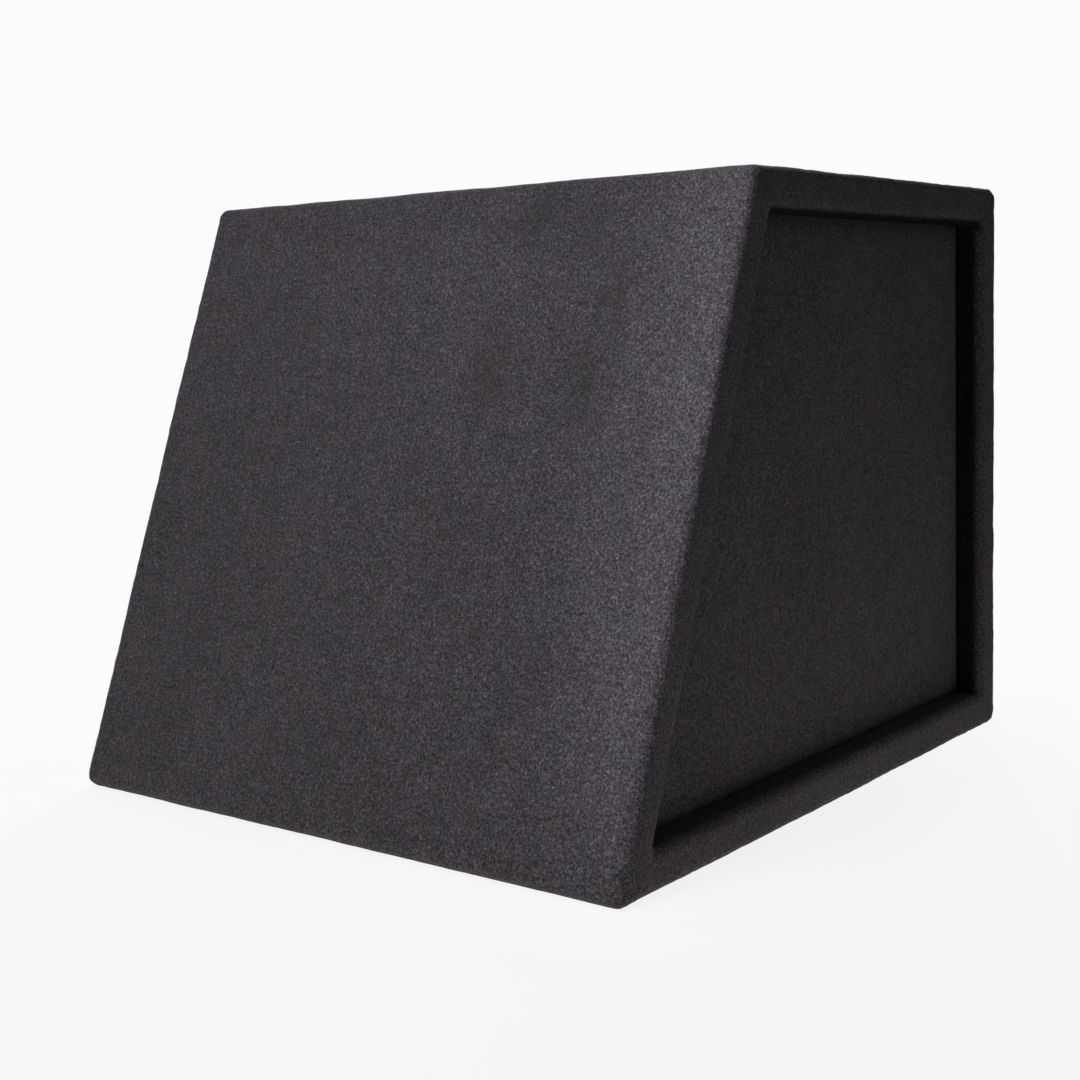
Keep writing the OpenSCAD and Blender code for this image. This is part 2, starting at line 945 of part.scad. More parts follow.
module terminal_screws() {
    color("#1c1c1c")
        on_side()
            at_cup_screws()
                pan_screw(cup_screw_radius, cup_screw_head, cup_screw_head_height,
                    cup_screw_tip, cup_face);
}

// ---- Binding posts ----
stud_radius = 3;
stud_tail = -34;
stud_tip = -0.6;
plug_depth = 14;
wire_hole_radius = 1;

base_radius = 8;
base_height = 4;
base_top = dish_floor_front + base_height;
// The wire hole shows in the gap that an undone knob leaves
wire_hole_share = 0.36;
wire_hole_z = base_top + wire_hole_share * knob_travel;
collar_radius = 5.5;
collar_depth = 1.5;
collar_top = base_top + collar_depth;
knob_radius = 6.5;
knob_top = 0;
knob_flutes = 12;
flute_radius = 1;
flute_offset = 1 / 3;
flute_start = 2;
thread_clearance = 0.05;

// side is +1 for the red post, towards the back, and -1 for the black post
module on_post(side) {
    on_side()
        translate([side * post_spacing / 2, post_height, 0])
            children();
}

module post_base(side) {
    on_post(side)
        difference() {
            union() {
                rod(base_radius, dish_floor_front, base_top);
                rod(spigot_radius, dish_floor_back, dish_floor_front + past);
            }
            rod(stud_radius, dish_floor_back - past, base_top + past);
        }
}

module post_stud(side) {
    on_post(side)
        difference() {
            rod(stud_radius, stud_tail, stud_tip);
            rod(plug_bore / 2, stud_tip - plug_depth, stud_tip + past);
            translate([0, 0, wire_hole_z])
                rotate([90, 0, 0])
                    cylinder(h = 4 * stud_radius, r = wire_hole_radius, center = true);
        }
}

module clamp_collar(side) {
    on_post(side)
        ring(collar_radius, stud_radius + thread_clearance, base_top, collar_top);
}

module knob(side) {
    on_post(side)
        difference() {
            rod(knob_radius, collar_top, knob_top);
            rod(stud_radius + thread_clearance, collar_top - past, knob_top + past);
            for (i = [0 : knob_flutes - 1])
                rotate([0, 0, i * 360 / knob_flutes])
                    translate([knob_radius + flute_offset, 0, 0])
                        rod(flute_radius, collar_top + flute_start, knob_top + past);
        }
}

module red_post_base() {
    color("darkred") post_base(1);
}

module black_post_base() {
    color("#111111") post_base(-1);
}

module red_post_stud() {
    color("gold") post_stud(1);
}

module black_post_stud() {
    color("gold") post_stud(-1);
}

module red_clamp_collar() {
    color("gold") clamp_collar(1);
}

module black_clamp_collar() {
    color("gold") clamp_collar(-1);
}

module red_knob() {
    color("red") knob(1);
}

module black_knob() {
    color("#111111") knob(-1);
}

nut_depth = 4;
nut_corners = 11.5;
lock_nut_depth = 3;
post_tag_top = dish_floor_back - nut_depth;
post_tag_bottom = post_tag_top - tag_depth;
post_tag_reach = 18;
post_tag_ring = 5.5;

module post_nuts() {
    color("silver")
        for (side = [-1, 1])
            on_post(side) {
                hex_ring(nut_corners, stud_radius, post_tag_top, dish_floor_back);
                hex_ring(nut_corners, stud_radius,
                    post_tag_bottom - lock_nut_depth, post_tag_bottom);
            }
}

module post_tags() {
    color("gold")
        for (side = [-1, 1])
            on_post(side)
                difference() {
                    union() {
                        rod(post_tag_ring, post_tag_bottom, post_tag_top);
                        translate([-tag_width / 2, 0, post_tag_bottom])
                            cube([tag_width, post_tag_reach, tag_depth]);
                    }
                    rod(stud_radius, post_tag_bottom - past, post_tag_top + past);
                }
}

// ---- Jack socket ----
jack_body = 20;
jack_body_bottom = -50;
jack_mouth = -17.5;
jack_depth = 28.5;
jack_nut_depth = 2.5;
jack_nut_corners = 14;
jack_lug = [2.4, 6, 0.8];
jack_lug_offset = 5;

module jack_socket() {
    color("#26262a")
        on_side()
            translate([0, jack_height, 0]) {
                difference() {
                    union() {
                        rod(jack_bush, dish_floor_back - past, jack_mouth);
                        translate([-jack_body / 2, -jack_body / 2, jack_body_bottom])
                            cube([jack_body, jack_body, dish_floor_back - jack_body_bottom]);
                        for (side = [-1, 1])
                            translate([side * jack_lug_offset - jack_lug[0] / 2,
                                -jack_lug[2] / 2, jack_body_bottom - jack_lug[1]])
                                cube([jack_lug[0], jack_lug[2], jack_lug[1] + past]);
                    }
                    rod(jack_bore / 2, jack_mouth - jack_depth, jack_mouth + past);
                }
            }
}

module jack_nut() {
    color("silver")
        on_side()
            translate([0, jack_height, 0])
                hex_ring(jack_nut_corners, jack_bush, dish_floor_front,
                    dish_floor_front + jack_nut_depth);
}

// ---- Wiring ----
connector_wall = 1.2;
connector_grip = 10;
// How far a sleeve runs on past its blade's end
connector_end = 2;
wire_radius = 1.5;
link_radius = 1.1;
wire_gap = 0.3;
wire_arch = 60;
wire_arch_step = 16;
wire_run = 44;
link_lead_out = 10;
link_lead_in = 22;

// A push-on sleeve along local +X that leaves room for a blade's end
module connector_sleeve(blade_end) {
    difference() {
        translate([blade_end - connector_grip + connector_end, -tag_depth / 2 - connector_wall,
            -tag_width / 2 - connector_wall])
            cube([connector_grip, tag_depth + 2 * connector_wall,
                tag_width + 2 * connector_wall]);
        translate([0, -tag_depth / 2, -tag_width / 2])
            cube([blade_end, tag_depth, tag_width]);
    }
}

module push_on_connectors() {
    blade_middle = (post_tag_top + post_tag_bottom) / 2;
    color("silver") {
        for (side = [-1, 1]) {
            on_front()
                translate([0, side * tag_offset, tag_z])
                    connector_sleeve(tag_end);
            on_post(side)
                translate([0, 0, blade_middle])
                    rotate([0, 0, 90])
                        rotate([90, 0, 0])
                            connector_sleeve(post_tag_reach);
        }
    }
}

// A wire from a post's connector to a woofer tag's connector
module long_wire(side) {
    past_blade = connector_end + wire_gap;
    start = side_point([side * post_spacing / 2, post_height + post_tag_reach + past_blade,
        (post_tag_top + post_tag_bottom) / 2]);
    end = front_point([tag_end + past_blade, side * tag_offset, tag_z]);
    // The red wire arches over the black one
    rise = [0, 0, wire_arch + wire_arch_step * side];
    run = [wire_run, 0, 0];
    cable([start, start + rise, end + run, end], wire_radius, [1, 2, 0]);
}

// A short wire from a jack lug to the foot of a post's lock nut
module link_wire(side) {
    lug_end = jack_body_bottom - jack_lug[1] - wire_gap;
    start = side_point([side * jack_lug_offset, jack_height, lug_end]);
    end = side_point([side * post_spacing / 2, post_height, stud_tail - wire_gap]);
    cable([start, start - [link_lead_out, 0, 0], end - [link_lead_in, 0, 0], end],
        link_radius, [0, 1, 0.2]);
}

module red_wire() {
    color("red") long_wire(1);
}

module black_wire() {
    color("#111111") long_wire(-1);
}

module red_link_wire() {
    color("red") link_wire(1);
}

module black_link_wire() {
    color("#111111") link_wire(-1);
}

front_baffle();
back_panel();
top_panel();
bottom_panel();
left_side_panel();
right_side_panel();
side_battens();
panel_screws();
carpet_wrap();
left_side_carpet();
right_side_carpet();
back_wadding();
bottom_wadding();
mounting_gasket();
woofer_basket();
woofer_bolts();
tee_nuts();
surround();
trim_gasket();
cone();
dust_cap();
spider();
voice_coil_former();
voice_coil_winding();
top_plate();
magnet();
yoke();
woofer_terminal_strip();
woofer_tags();
tinsel_leads();
wire_grille();
grille_clamps();
grille_screws();
terminal_cup();
terminal_gasket();
terminal_screws();
red_post_base();
black_post_base();
red_post_stud();
black_post_stud();
red_clamp_collar();
black_clamp_collar();
red_knob();
black_knob();
post_nuts();
post_tags();
jack_socket();
jack_nut();
push_on_connectors();
red_wire();
black_wire();
red_link_wire();
black_link_wire();
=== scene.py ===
"""A felt-carpeted wedge speaker cabinet: materials, soft parts, stage, lights and camera round the CAD."""
import json
import math

import bmesh
import bpy
import numpy as np
from mathutils import Matrix, Vector


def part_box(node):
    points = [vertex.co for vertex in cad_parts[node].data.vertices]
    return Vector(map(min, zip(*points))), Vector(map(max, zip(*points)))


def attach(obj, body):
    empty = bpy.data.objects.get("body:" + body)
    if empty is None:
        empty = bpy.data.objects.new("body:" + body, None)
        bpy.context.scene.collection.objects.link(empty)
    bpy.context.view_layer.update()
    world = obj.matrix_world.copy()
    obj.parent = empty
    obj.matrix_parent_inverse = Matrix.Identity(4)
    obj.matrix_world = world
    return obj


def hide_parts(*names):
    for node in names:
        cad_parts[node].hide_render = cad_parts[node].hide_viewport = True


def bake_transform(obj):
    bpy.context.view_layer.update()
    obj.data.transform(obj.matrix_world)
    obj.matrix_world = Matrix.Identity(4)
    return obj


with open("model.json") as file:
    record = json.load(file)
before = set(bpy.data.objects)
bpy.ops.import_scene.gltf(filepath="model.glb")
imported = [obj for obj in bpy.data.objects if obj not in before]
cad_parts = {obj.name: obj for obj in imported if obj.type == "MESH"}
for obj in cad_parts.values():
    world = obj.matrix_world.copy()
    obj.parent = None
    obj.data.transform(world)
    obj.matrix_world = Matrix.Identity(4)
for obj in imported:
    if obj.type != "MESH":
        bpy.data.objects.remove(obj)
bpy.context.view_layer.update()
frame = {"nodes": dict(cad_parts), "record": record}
MM = 0.001

# ---- sizes read from the frame
WRAP_LOW, WRAP_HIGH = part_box("carpet_wrap")
HALF_WIDTH = WRAP_HIGH.x
HEIGHT = WRAP_HIGH.z
FRONT = WRAP_LOW.y
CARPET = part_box("bottom_panel")[0].z
BOARD_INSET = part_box("bottom_panel")[1].z
OPENING_INSET = BOARD_INSET + CARPET
SIDE_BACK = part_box("right_side_carpet")[0].x
SIDE_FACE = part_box("right_side_carpet")[1].x
SLOPE_MOUNT = next(m for m in frame["record"]["mounts"] if m["name"] == "sloping_back")
SLOPE_POINT = Vector(SLOPE_MOUNT["pos_m"])
SLOPE_NORMAL = Vector(SLOPE_MOUNT["axis"])
TILT = math.atan2(SLOPE_NORMAL.z, SLOPE_NORMAL.y)
BASE_BACK = SLOPE_POINT.y + SLOPE_POINT.z * math.tan(TILT)
SLOPE_UP = (0, -math.sin(TILT), math.cos(TILT))
SLOPE_OUT = (0, math.cos(TILT), math.sin(TILT))
EDGE_NORMALS = ((0, -1), (math.cos(TILT), math.sin(TILT)), (0, 1), (-1, 0))
WOOFER_Z = sum(corner.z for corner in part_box("woofer_basket")) / 2
SLOTS = {part["node"]: part["material_slot"] for part in frame["record"]["subparts"]}

# ---- felt
OUTER_CORNER = 7 * MM
INNER_CORNER = 3 * MM
CORNER_STEPS = 9
RIM_OUTER_ROUND = 4.4 * MM
RIM_LOOSE_ROUND = 6.3 * MM  # the outer round at the lower back corner, where the felt is slack
LOOSE_REACH = (30 * MM, 230 * MM)  # all slack nearer that corner than this, none further than this
RIM_INNER_ROUND = 6 * MM
BACKING_ROUND = 3 * MM
ROUND_STEPS = 7
FELT_PITCH = 3.5 * MM  # between points on the open faces
END_PITCH = 1.1 * MM  # and near the corners
END_REACH = 13 * MM
WALL_TUCK = 0.5 * MM
SEAM_ON_BASE = 0.07  # where the wrap's two ends meet, as a share of the base from the front
SEAM_PITCH = 0.5 * MM
SEAM_DEPTH = 0.7 * MM
MITRE_SHOWS = (0.6, 0.35, 0.15, 0.5)
SMUDGES = (  # marks on the slope: shares of half width and height, size share
    (-0.35, 0.95, 0.06),
    (-0.52, 0.93, 0.04),
    (-0.64, 0.82, 0.06),
    (-0.6, 0.7, 0.08),
    (-0.27, 0.71, 0.07),
)
SIDE_GRID = (118, 100)
EDGE_SINK = 0.25 * MM  # the side felt's edges lie this much lower than its middle
EDGE_TUCK = 0.85 * MM  # and its very border is pressed down by this much more
FELT = (0.0387, 0.0361, 0.0418)
WHITE = (1.0, 1.0, 1.0)

# ---- woofer
CONE_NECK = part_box("voice_coil_former")[1].x
CONE_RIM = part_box("cone")[1].x
RIM_FLAT = 5 * MM
RIM_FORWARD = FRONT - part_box("cone")[0].y
NECK_FORWARD = RIM_FORWARD - 54.5 * MM
CONE_CURVE = 0.9
CONE_SKIN = 1.2 * MM
CONE_RIBS = (66 * MM, 78 * MM, 90 * MM)
RIB_HEIGHT = 0.7 * MM
RIB_WIDTH = 1.5 * MM
CAP_SKIN = 0.9 * MM
GLUE_BEAD = 1.1 * MM
GLUE_OUT = 0.8 * MM
SURROUND_SKIN = 0.7 * MM
SURROUND_ROLL = (CONE_RIM, 130.5 * MM)
SURROUND_LAP = 4.5 * MM
ROLL_HEIGHT = 2.8 * MM
SPIDER_ROLL = (CONE_NECK + 2 * MM, 70 * MM)
SPIDER_SKIN = 0.6 * MM
SPIDER_WAVES = 5
SPIDER_HEIGHT = 1.84 * MM
LEAD_RADIUS = 58 * MM  # where the leads meet the cone
LEAD_SPREAD = 7 * MM
LEAD_THICK = 0.9 * MM
LEAD_SAG = 9 * MM
LEAD_STEPS = 40
GASKET_FRAME = 9 * MM

# ---- CAD nodes that stay
SMOOTH_ANGLE = math.radians(38)
FLAT_ANGLE = math.radians(0.6)
SOFT_EDGES = {  # bevel width in mm: nodes
    0.15: "tee_nuts red_clamp_collar black_clamp_collar",
    0.2: "grille_screws terminal_screws red_post_stud black_post_stud woofer_terminal_strip",
    0.25: "red_knob black_knob jack_socket jack_nut post_nuts",
    0.3: "red_post_base black_post_base push_on_connectors",
    0.35: "woofer_bolts",
    0.5: "terminal_cup",
    0.6: "woofer_basket",
    0.8: "grille_clamps top_plate yoke side_battens",
    1.0: "magnet",
}
BEVELS = {node: width * MM for width, nodes in SOFT_EDGES.items() for node in nodes.split()}

# ---- stage, lights and camera
FLOOR_COLOUR = (0.9, 0.9, 0.9)
FLOOR_RADIUS = 7.0
FLOOR_FADE = (0.3, 0.85)  # distances between which the floor fades into the backdrop
FLOOR_GLOW = (0.88, 1.0)
BACKDROP = (0.97, 0.97, 0.97)
BOUNCE_COLOUR = (1.0, 0.95, 0.91)
BOUNCE_MIDDLE = (-0.1, 0.4, 0.0)
BOUNCE_REACH = (0.3, 1.3)  # distances between which the floor's bounced light falls off
BOUNCE_LIGHT = (0.82, 0.05)
AMBIENT = 0.1
# lamps over the slope: share of half width towards -X, rise along the slope, distance off, size, power
SLOPE_LAMPS = (
    ("slope_key", -0.5, 0.28, 0.6, (0.4, 0.4), 1.1),
    ("slope_lamp", 0.5, 0.17, 0.45, (0.18, 0.4), 1.25),
    ("edge_strip", 0.95, 0.05, 0.05, (0.015, 0.43), 0.09),
)
# lamps aimed at the cabinet's middle: place, size, power
FAR_LAMPS = (
    ("key", (0.35, 1.5, 1.3), (1.0, 1.0), 1.5),
    ("front_fill", (0.9, -1.6, 1.2), (1.4, 1.4), 42),
    ("right_fill", (1.7, -0.2, 0.9), (1.2, 1.2), 15),
)
CAMERA_PLACE = Vector((-0.6333, 0.7655, 0.2709))
CAMERA_FORWARD = Vector((0.57969, -0.8028, -0.13954)).normalized()
CAMERA_RIGHT = Vector((-0.81263, -0.58217, -0.02656)).normalized()
CAMERA_LENS = 54.26
CAMERA_SHIFT = (-0.1101, 0.0018)


# ---- number helpers
def smooth_noise(points, length, seed, count=26):
    """Seeded smooth noise, about 1 in size, with bumps about length apart."""
    rng = np.random.default_rng(seed)
    directions = rng.normal(size=(count, 3))
    directions /= np.linalg.norm(directions, axis=1)[:, None]
    rates = 2 * math.pi / (length * rng.uniform(0.7, 1.4, count))
    phases = rng.uniform(0, 2 * math.pi, count)
    total = np.zeros(len(points))
    for direction, rate, phase in zip(directions, rates, phases):
        total += np.sin(points @ direction * rate + phase)
    return total / math.sqrt(count / 2)


def ease(value, low, high):
    """0 below low, 1 above high, smooth between; low may be above high."""
    t = np.clip((np.asarray(value, float) - low) / (high - low), 0, 1)
    return t * t * (3 - 2 * t)


def hump(value, width):
    """1 at zero, falling smoothly to 0 a few widths away."""
    return np.exp(-(value / width) ** 2)


def grid_faces(rows, columns, wrap_rows, wrap_columns):
    """Quads of a rows by columns grid of points, closed round where asked."""
    i = np.arange(rows if wrap_rows else rows - 1)
    j = np.arange(columns if wrap_columns else columns - 1)
    ii, jj = np.meshgrid(i, j, indexing="ij")
    up, right = (ii + 1) % rows, (jj + 1) % columns
    corners = (ii * columns + jj, ii * columns + right, up * columns + right, up * columns + jj)
    return np.stack(corners, -1).reshape(-1, 4)


def sheet_faces(rows, columns):
    """Faces of a closed sheet: a grid of points, its copy on the other side and the border."""
    count = rows * columns
    faces = [tuple(f) for f in grid_faces(rows, columns, False, False)]
    faces += [tuple(count + i for i in f[::-1]) for f in faces]
    edge = list(range(columns)) + [i * columns + columns - 1 for i in range(1, rows)]
    edge += [(rows - 1) * columns + k for k in range(columns - 2, -1, -1)]
    edge += [i * columns for i in range(rows - 2, 0, -1)]
    return faces + [(a, b, b + count, a + count) for a, b in zip(edge, edge[1:] + edge[:1])]


def tube_faces(rings, sides):
    """Faces of a tube of rings, closed at both ends."""
    faces = [tuple(f) for f in grid_faces(rings, sides, False, True)]
    faces.append(tuple(range(sides))[::-1])
    faces.append(tuple(range((rings - 1) * sides, rings * sides)))
    return faces


def even_turns(count):
    """Angles evenly round a circle."""
    return [2 * math.pi * k / count for k in range(count)]


def woofer_point(radius, angle, forward):
    """A point of the woofer: forward is how far it stands in front of the baffle's felt."""
    return (radius * math.cos(angle), FRONT - forward, WOOFER_Z + radius * math.sin(angle))


def revolve(profile, segments):
    """Points and faces of a closed profile of (radius, forward) turned round the woofer's axis."""
    angles = np.arange(segments) * 2 * math.pi / segments
    points = [woofer_point(r, a, h) for a in angles for r, h in profile]
    return points, grid_faces(segments, len(profile), True, True)


def closed_skin(front, thickness):
    """A closed profile from a front line of (radius, forward) and a skin behind it."""
    front = np.array(front, float)
    run = np.gradient(front, axis=0)
    normal = np.stack([-run[:, 1], run[:, 0]], 1)
    normal /= np.linalg.norm(normal, axis=1)[:, None]
    back = front - normal * thickness
    back[:, 0] = np.maximum(back[:, 0], 0)
    return [tuple(p) for p in front] + [tuple(p) for p in back[::-1]]


def tube(path, radius, sides=14):
    """Points of a round tube, ring by ring, and how far along the path each one is."""
    path = np.array(path, float)
    run = np.gradient(path, axis=0)
    run /= np.linalg.norm(run, axis=1)[:, None]
    across = np.cross(run[0], [0.31, 0.59, 0.74])
    turns = 2 * math.pi * np.arange(sides) / sides
    points = []
    for centre, direction in zip(path, run):
        across = across - direction * (across @ direction)
        across /= np.linalg.norm(across)
        other = np.cross(direction, across)
        ring = centre + radius * (np.outer(np.cos(turns), across) + np.outer(np.sin(turns), other))
        points += [tuple(p) for p in ring]
    return points, np.repeat(np.linspace(0, 1, len(path)), sides)


def rounded_rectangle(half_u, half_v, radius, steps=8):
    """Points of a rounded rectangle about zero."""
    points = []
    for corner, (sign_u, sign_v) in enumerate(((1, 1), (-1, 1), (-1, -1), (1, -1))):
        for k in range(steps + 1):
            a = math.pi / 2 * (corner + k / steps)
            u = sign_u * (half_u - radius) + radius * math.cos(a)
            points.append((u, sign_v * (half_v - radius) + radius * math.sin(a)))
    return points


# ---- mesh helpers
def add_object(name, data):
    """A new object in the scene."""
    added = bpy.data.objects.new(name, data)
    bpy.context.scene.collection.objects.link(added)
    return added


def link_mesh(name, points, faces):
    """A new mesh object, just as given."""
    mesh = bpy.data.meshes.new(name)
    mesh.from_pydata([tuple(p) for p in points], [], [tuple(int(i) for i in f) for f in faces])
    return add_object(name, mesh)


def tidy_mesh(piece):
    """Joins doubled points, turns all faces outwards and shades them smooth."""
    work = bmesh.new()
    work.from_mesh(piece.data)
    bmesh.ops.remove_doubles(work, verts=work.verts, dist=1e-7)
    bmesh.ops.recalc_face_normals(work, faces=work.faces)
    work.to_mesh(piece.data)
    work.free()
    piece.data.shade_smooth()


def make_mesh(name, points, faces):
    """A smooth closed mesh object with nothing else set on it yet."""
    piece = link_mesh(name, points, faces)
    tidy_mesh(piece)
    return piece


def paint(piece, material):
    """Gives the whole piece one material."""
    piece.data.materials.clear()
    piece.data.materials.append(material)


def dress(piece, body, replaced, slot, material=None):
    """Paints a piece, hides the CAD nodes it replaces and puts it on a body, if one is given."""
    paint(piece, material or MATERIALS[slot])
    if replaced:
        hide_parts(*replaced)
    if body:
        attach(piece, body)


def make_piece(name, points, faces, body, replaced, slot, material=None):
    """A finished piece from its points and faces."""
    piece = make_mesh(name, points, faces)
    dress(piece, body, replaced, slot, material)
    return piece


def mesh_points(piece):
    """The piece's own points as an array."""
    points = np.zeros(len(piece.data.vertices) * 3)
    piece.data.vertices.foreach_get("co", points)
    return points.reshape(-1, 3)


def store(piece, name, values):
    """Keeps one number on each point, for the materials to read; points past the values get 0."""
    padded = np.zeros(len(piece.data.vertices), np.float32)
    padded[: len(values)] = values
    piece.data.attributes.new(name, "FLOAT", "POINT").data.foreach_set("value", padded)


def cut(piece, cutter):
    """Takes the cutter away from the piece for good."""
    modifier = piece.modifiers.new("cut", "BOOLEAN")
    modifier.operation = "DIFFERENCE"
    modifier.object = cutter
    modifier.solver = "EXACT"
    bpy.context.view_layer.update()
    graph = bpy.context.evaluated_depsgraph_get()
    evaluated = piece.evaluated_get(graph)
    mesh = bpy.data.meshes.new_from_object(evaluated, preserve_all_data_layers=True, depsgraph=graph)
    piece.modifiers.clear()
    piece.data = mesh
    bpy.data.objects.remove(cutter)
    mesh.shade_smooth()


# ---- material helpers
class Nodes:
    """A node tree built with short calls: places in metres, sizes and depths of patterns in mm."""

    def __init__(self, owner, surface="Principled BSDF"):
        owner.use_nodes = True
        self.owner = owner
        self.tree = owner.node_tree
        self.surface = self.tree.nodes[surface]
        self.place = self.node("TexCoord").outputs["Object"]
        self.normal = None

    def node(self, kind, inputs=None, **settings):
        """A new shader node with its settings, then its inputs, filled in."""
        node = self.tree.nodes.new("ShaderNode" + kind)
        for key, value in settings.items():
            setattr(node, key, value)
        for key, value in (inputs or {}).items():
            self.put(node.inputs[key], value)
        return node

    def put(self, socket, value):
        """Links an output to a socket, or sets the socket to a plain value."""
        if isinstance(value, bpy.types.NodeSocket):
            self.tree.links.new(value, socket)
        elif socket.type == "RGBA":
            socket.default_value = (*value, 1)
        else:
            socket.default_value = value

    def set(self, **values):
        """Sets the surface's inputs; underscores stand for spaces."""
        for key, value in values.items():
            self.put(self.surface.inputs[key.replace("_", " ")], value)

    def stretched(self, scale, place=None):
        """The place with each axis multiplied, so that patterns run long along a small factor."""
        inputs = {0: place or self.place, 1: scale}
        return self.node("VectorMath", inputs, operation="MULTIPLY").outputs["Vector"]

    def noise(self, size, detail=2.0, rough=0.5, place=None, bend=0.0):
        """Smooth noise, 0 to 1, with features about size wide."""
        inputs = {"Vector": place or self.place, "Scale": 1 / (size * MM), "Detail": detail}
        inputs.update({"Roughness": rough, "Distortion": bend})
        return self.node("TexNoise", inputs).outputs["Fac"]

    def span(self, value, low, high, out_low=0.0, out_high=1.0, curve="LINEAR"):
        """Maps low..high to out_low..out_high, clamped."""
        inputs = {"Value": value, "From Min": low, "From Max": high, "To Min": out_low, "To Max": out_high}
        return self.node("MapRange", inputs, interpolation_type=curve).outputs["Result"]

    def mottle(self, size, detail, rough, low=0.3, high=0.7, place=None, bend=0.0):
        """Smooth noise with more contrast: its low..high becomes 0 to 1."""
        return self.span(self.noise(size, detail, rough, place, bend), low, high)

    def cells(self, size):
        """How far the nearest random point is and that point's random colour, points about size apart."""
        outputs = self.node("TexVoronoi", {"Vector": self.place, "Scale": 1 / (size * MM)}).outputs
        return outputs["Distance"], outputs["Color"]

    def chosen(self, colour, channel, low, high):
        """1 where a channel of a random colour is over high, 0 where it is under low."""
        return self.span(self.node("SeparateColor", {"Color": colour}).outputs[channel], low, high)

    def wave(self, size, axis, place=None, bend=0.0):
        """Even bands along one axis, 0 to 1."""
        inputs = {"Vector": place or self.place, "Scale": math.pi / 10 / (size * MM), "Distortion": bend}
        return self.node("TexWave", inputs, bands_direction=axis).outputs["Fac"]

    def rings(self, centre, axis):
        """The distance from an axis through centre, in metres."""
        offset = self.node("VectorMath", {0: self.place, 1: centre}, operation="SUBTRACT")
        flat = self.stretched([0 if k == axis else 1 for k in range(3)], offset.outputs["Vector"])
        return self.node("VectorMath", {0: flat}, operation="LENGTH").outputs["Value"]

    def math(self, operation, a, b=0.0):
        """One step of arithmetic."""
        return self.node("Math", {0: a, 1: b}, operation=operation).outputs["Value"]

    def times(self, a, b):
        """Two numbers multiplied."""
        return self.math("MULTIPLY", a, b)

    def mix(self, share, a, b, mode="MIX"):
        """Colour a turning into colour b. The node's colours are sockets 6 and 7, its result is 2."""
        inputs = {"Factor": share, 6: a, 7: b}
        return self.node("Mix", inputs, data_type="RGBA", blend_type=mode).outputs[2]

    def tinted(self, colour, pattern, low, high, share=1.0):
        """A colour multiplied by low where the pattern is 0 and by high where it is 1."""
        return self.mix(share, colour, self.mix(pattern, low, high), "MULTIPLY")

    def mix_shader(self, share, first, second):
        """One shader turning into another."""
        return self.node("MixShader", {0: share, 1: first, 2: second}).outputs[0]

    def attribute(self, name):
        """A number stored on the mesh's points."""
        return self.node("Attribute", attribute_name=name).outputs["Fac"]

    def bump(self, height, depth, strength=1.0):
        """Adds relief."""
        inputs = {"Strength": strength, "Distance": depth * MM, "Height": height}
        if self.normal:
            inputs["Normal"] = self.normal
        self.normal = self.node("Bump", inputs).outputs["Normal"]
        self.set(Normal=self.normal)

    def finish(self, colour, rough, *relief, **surface):
        """Sets the surface, adds each (height, depth, strength) of relief and returns the material."""
        self.set(Base_Color=colour, Roughness=rough, **surface)
        for layer in relief:
            self.bump(*layer)
        return self.owner


def new_material(name):
    """The node tree of a new material."""
    return Nodes(bpy.data.materials.new(name))


def shade(colour, factor):
    """A colour made lighter or darker."""
    return tuple(min(1.0, c * factor) for c in colour)


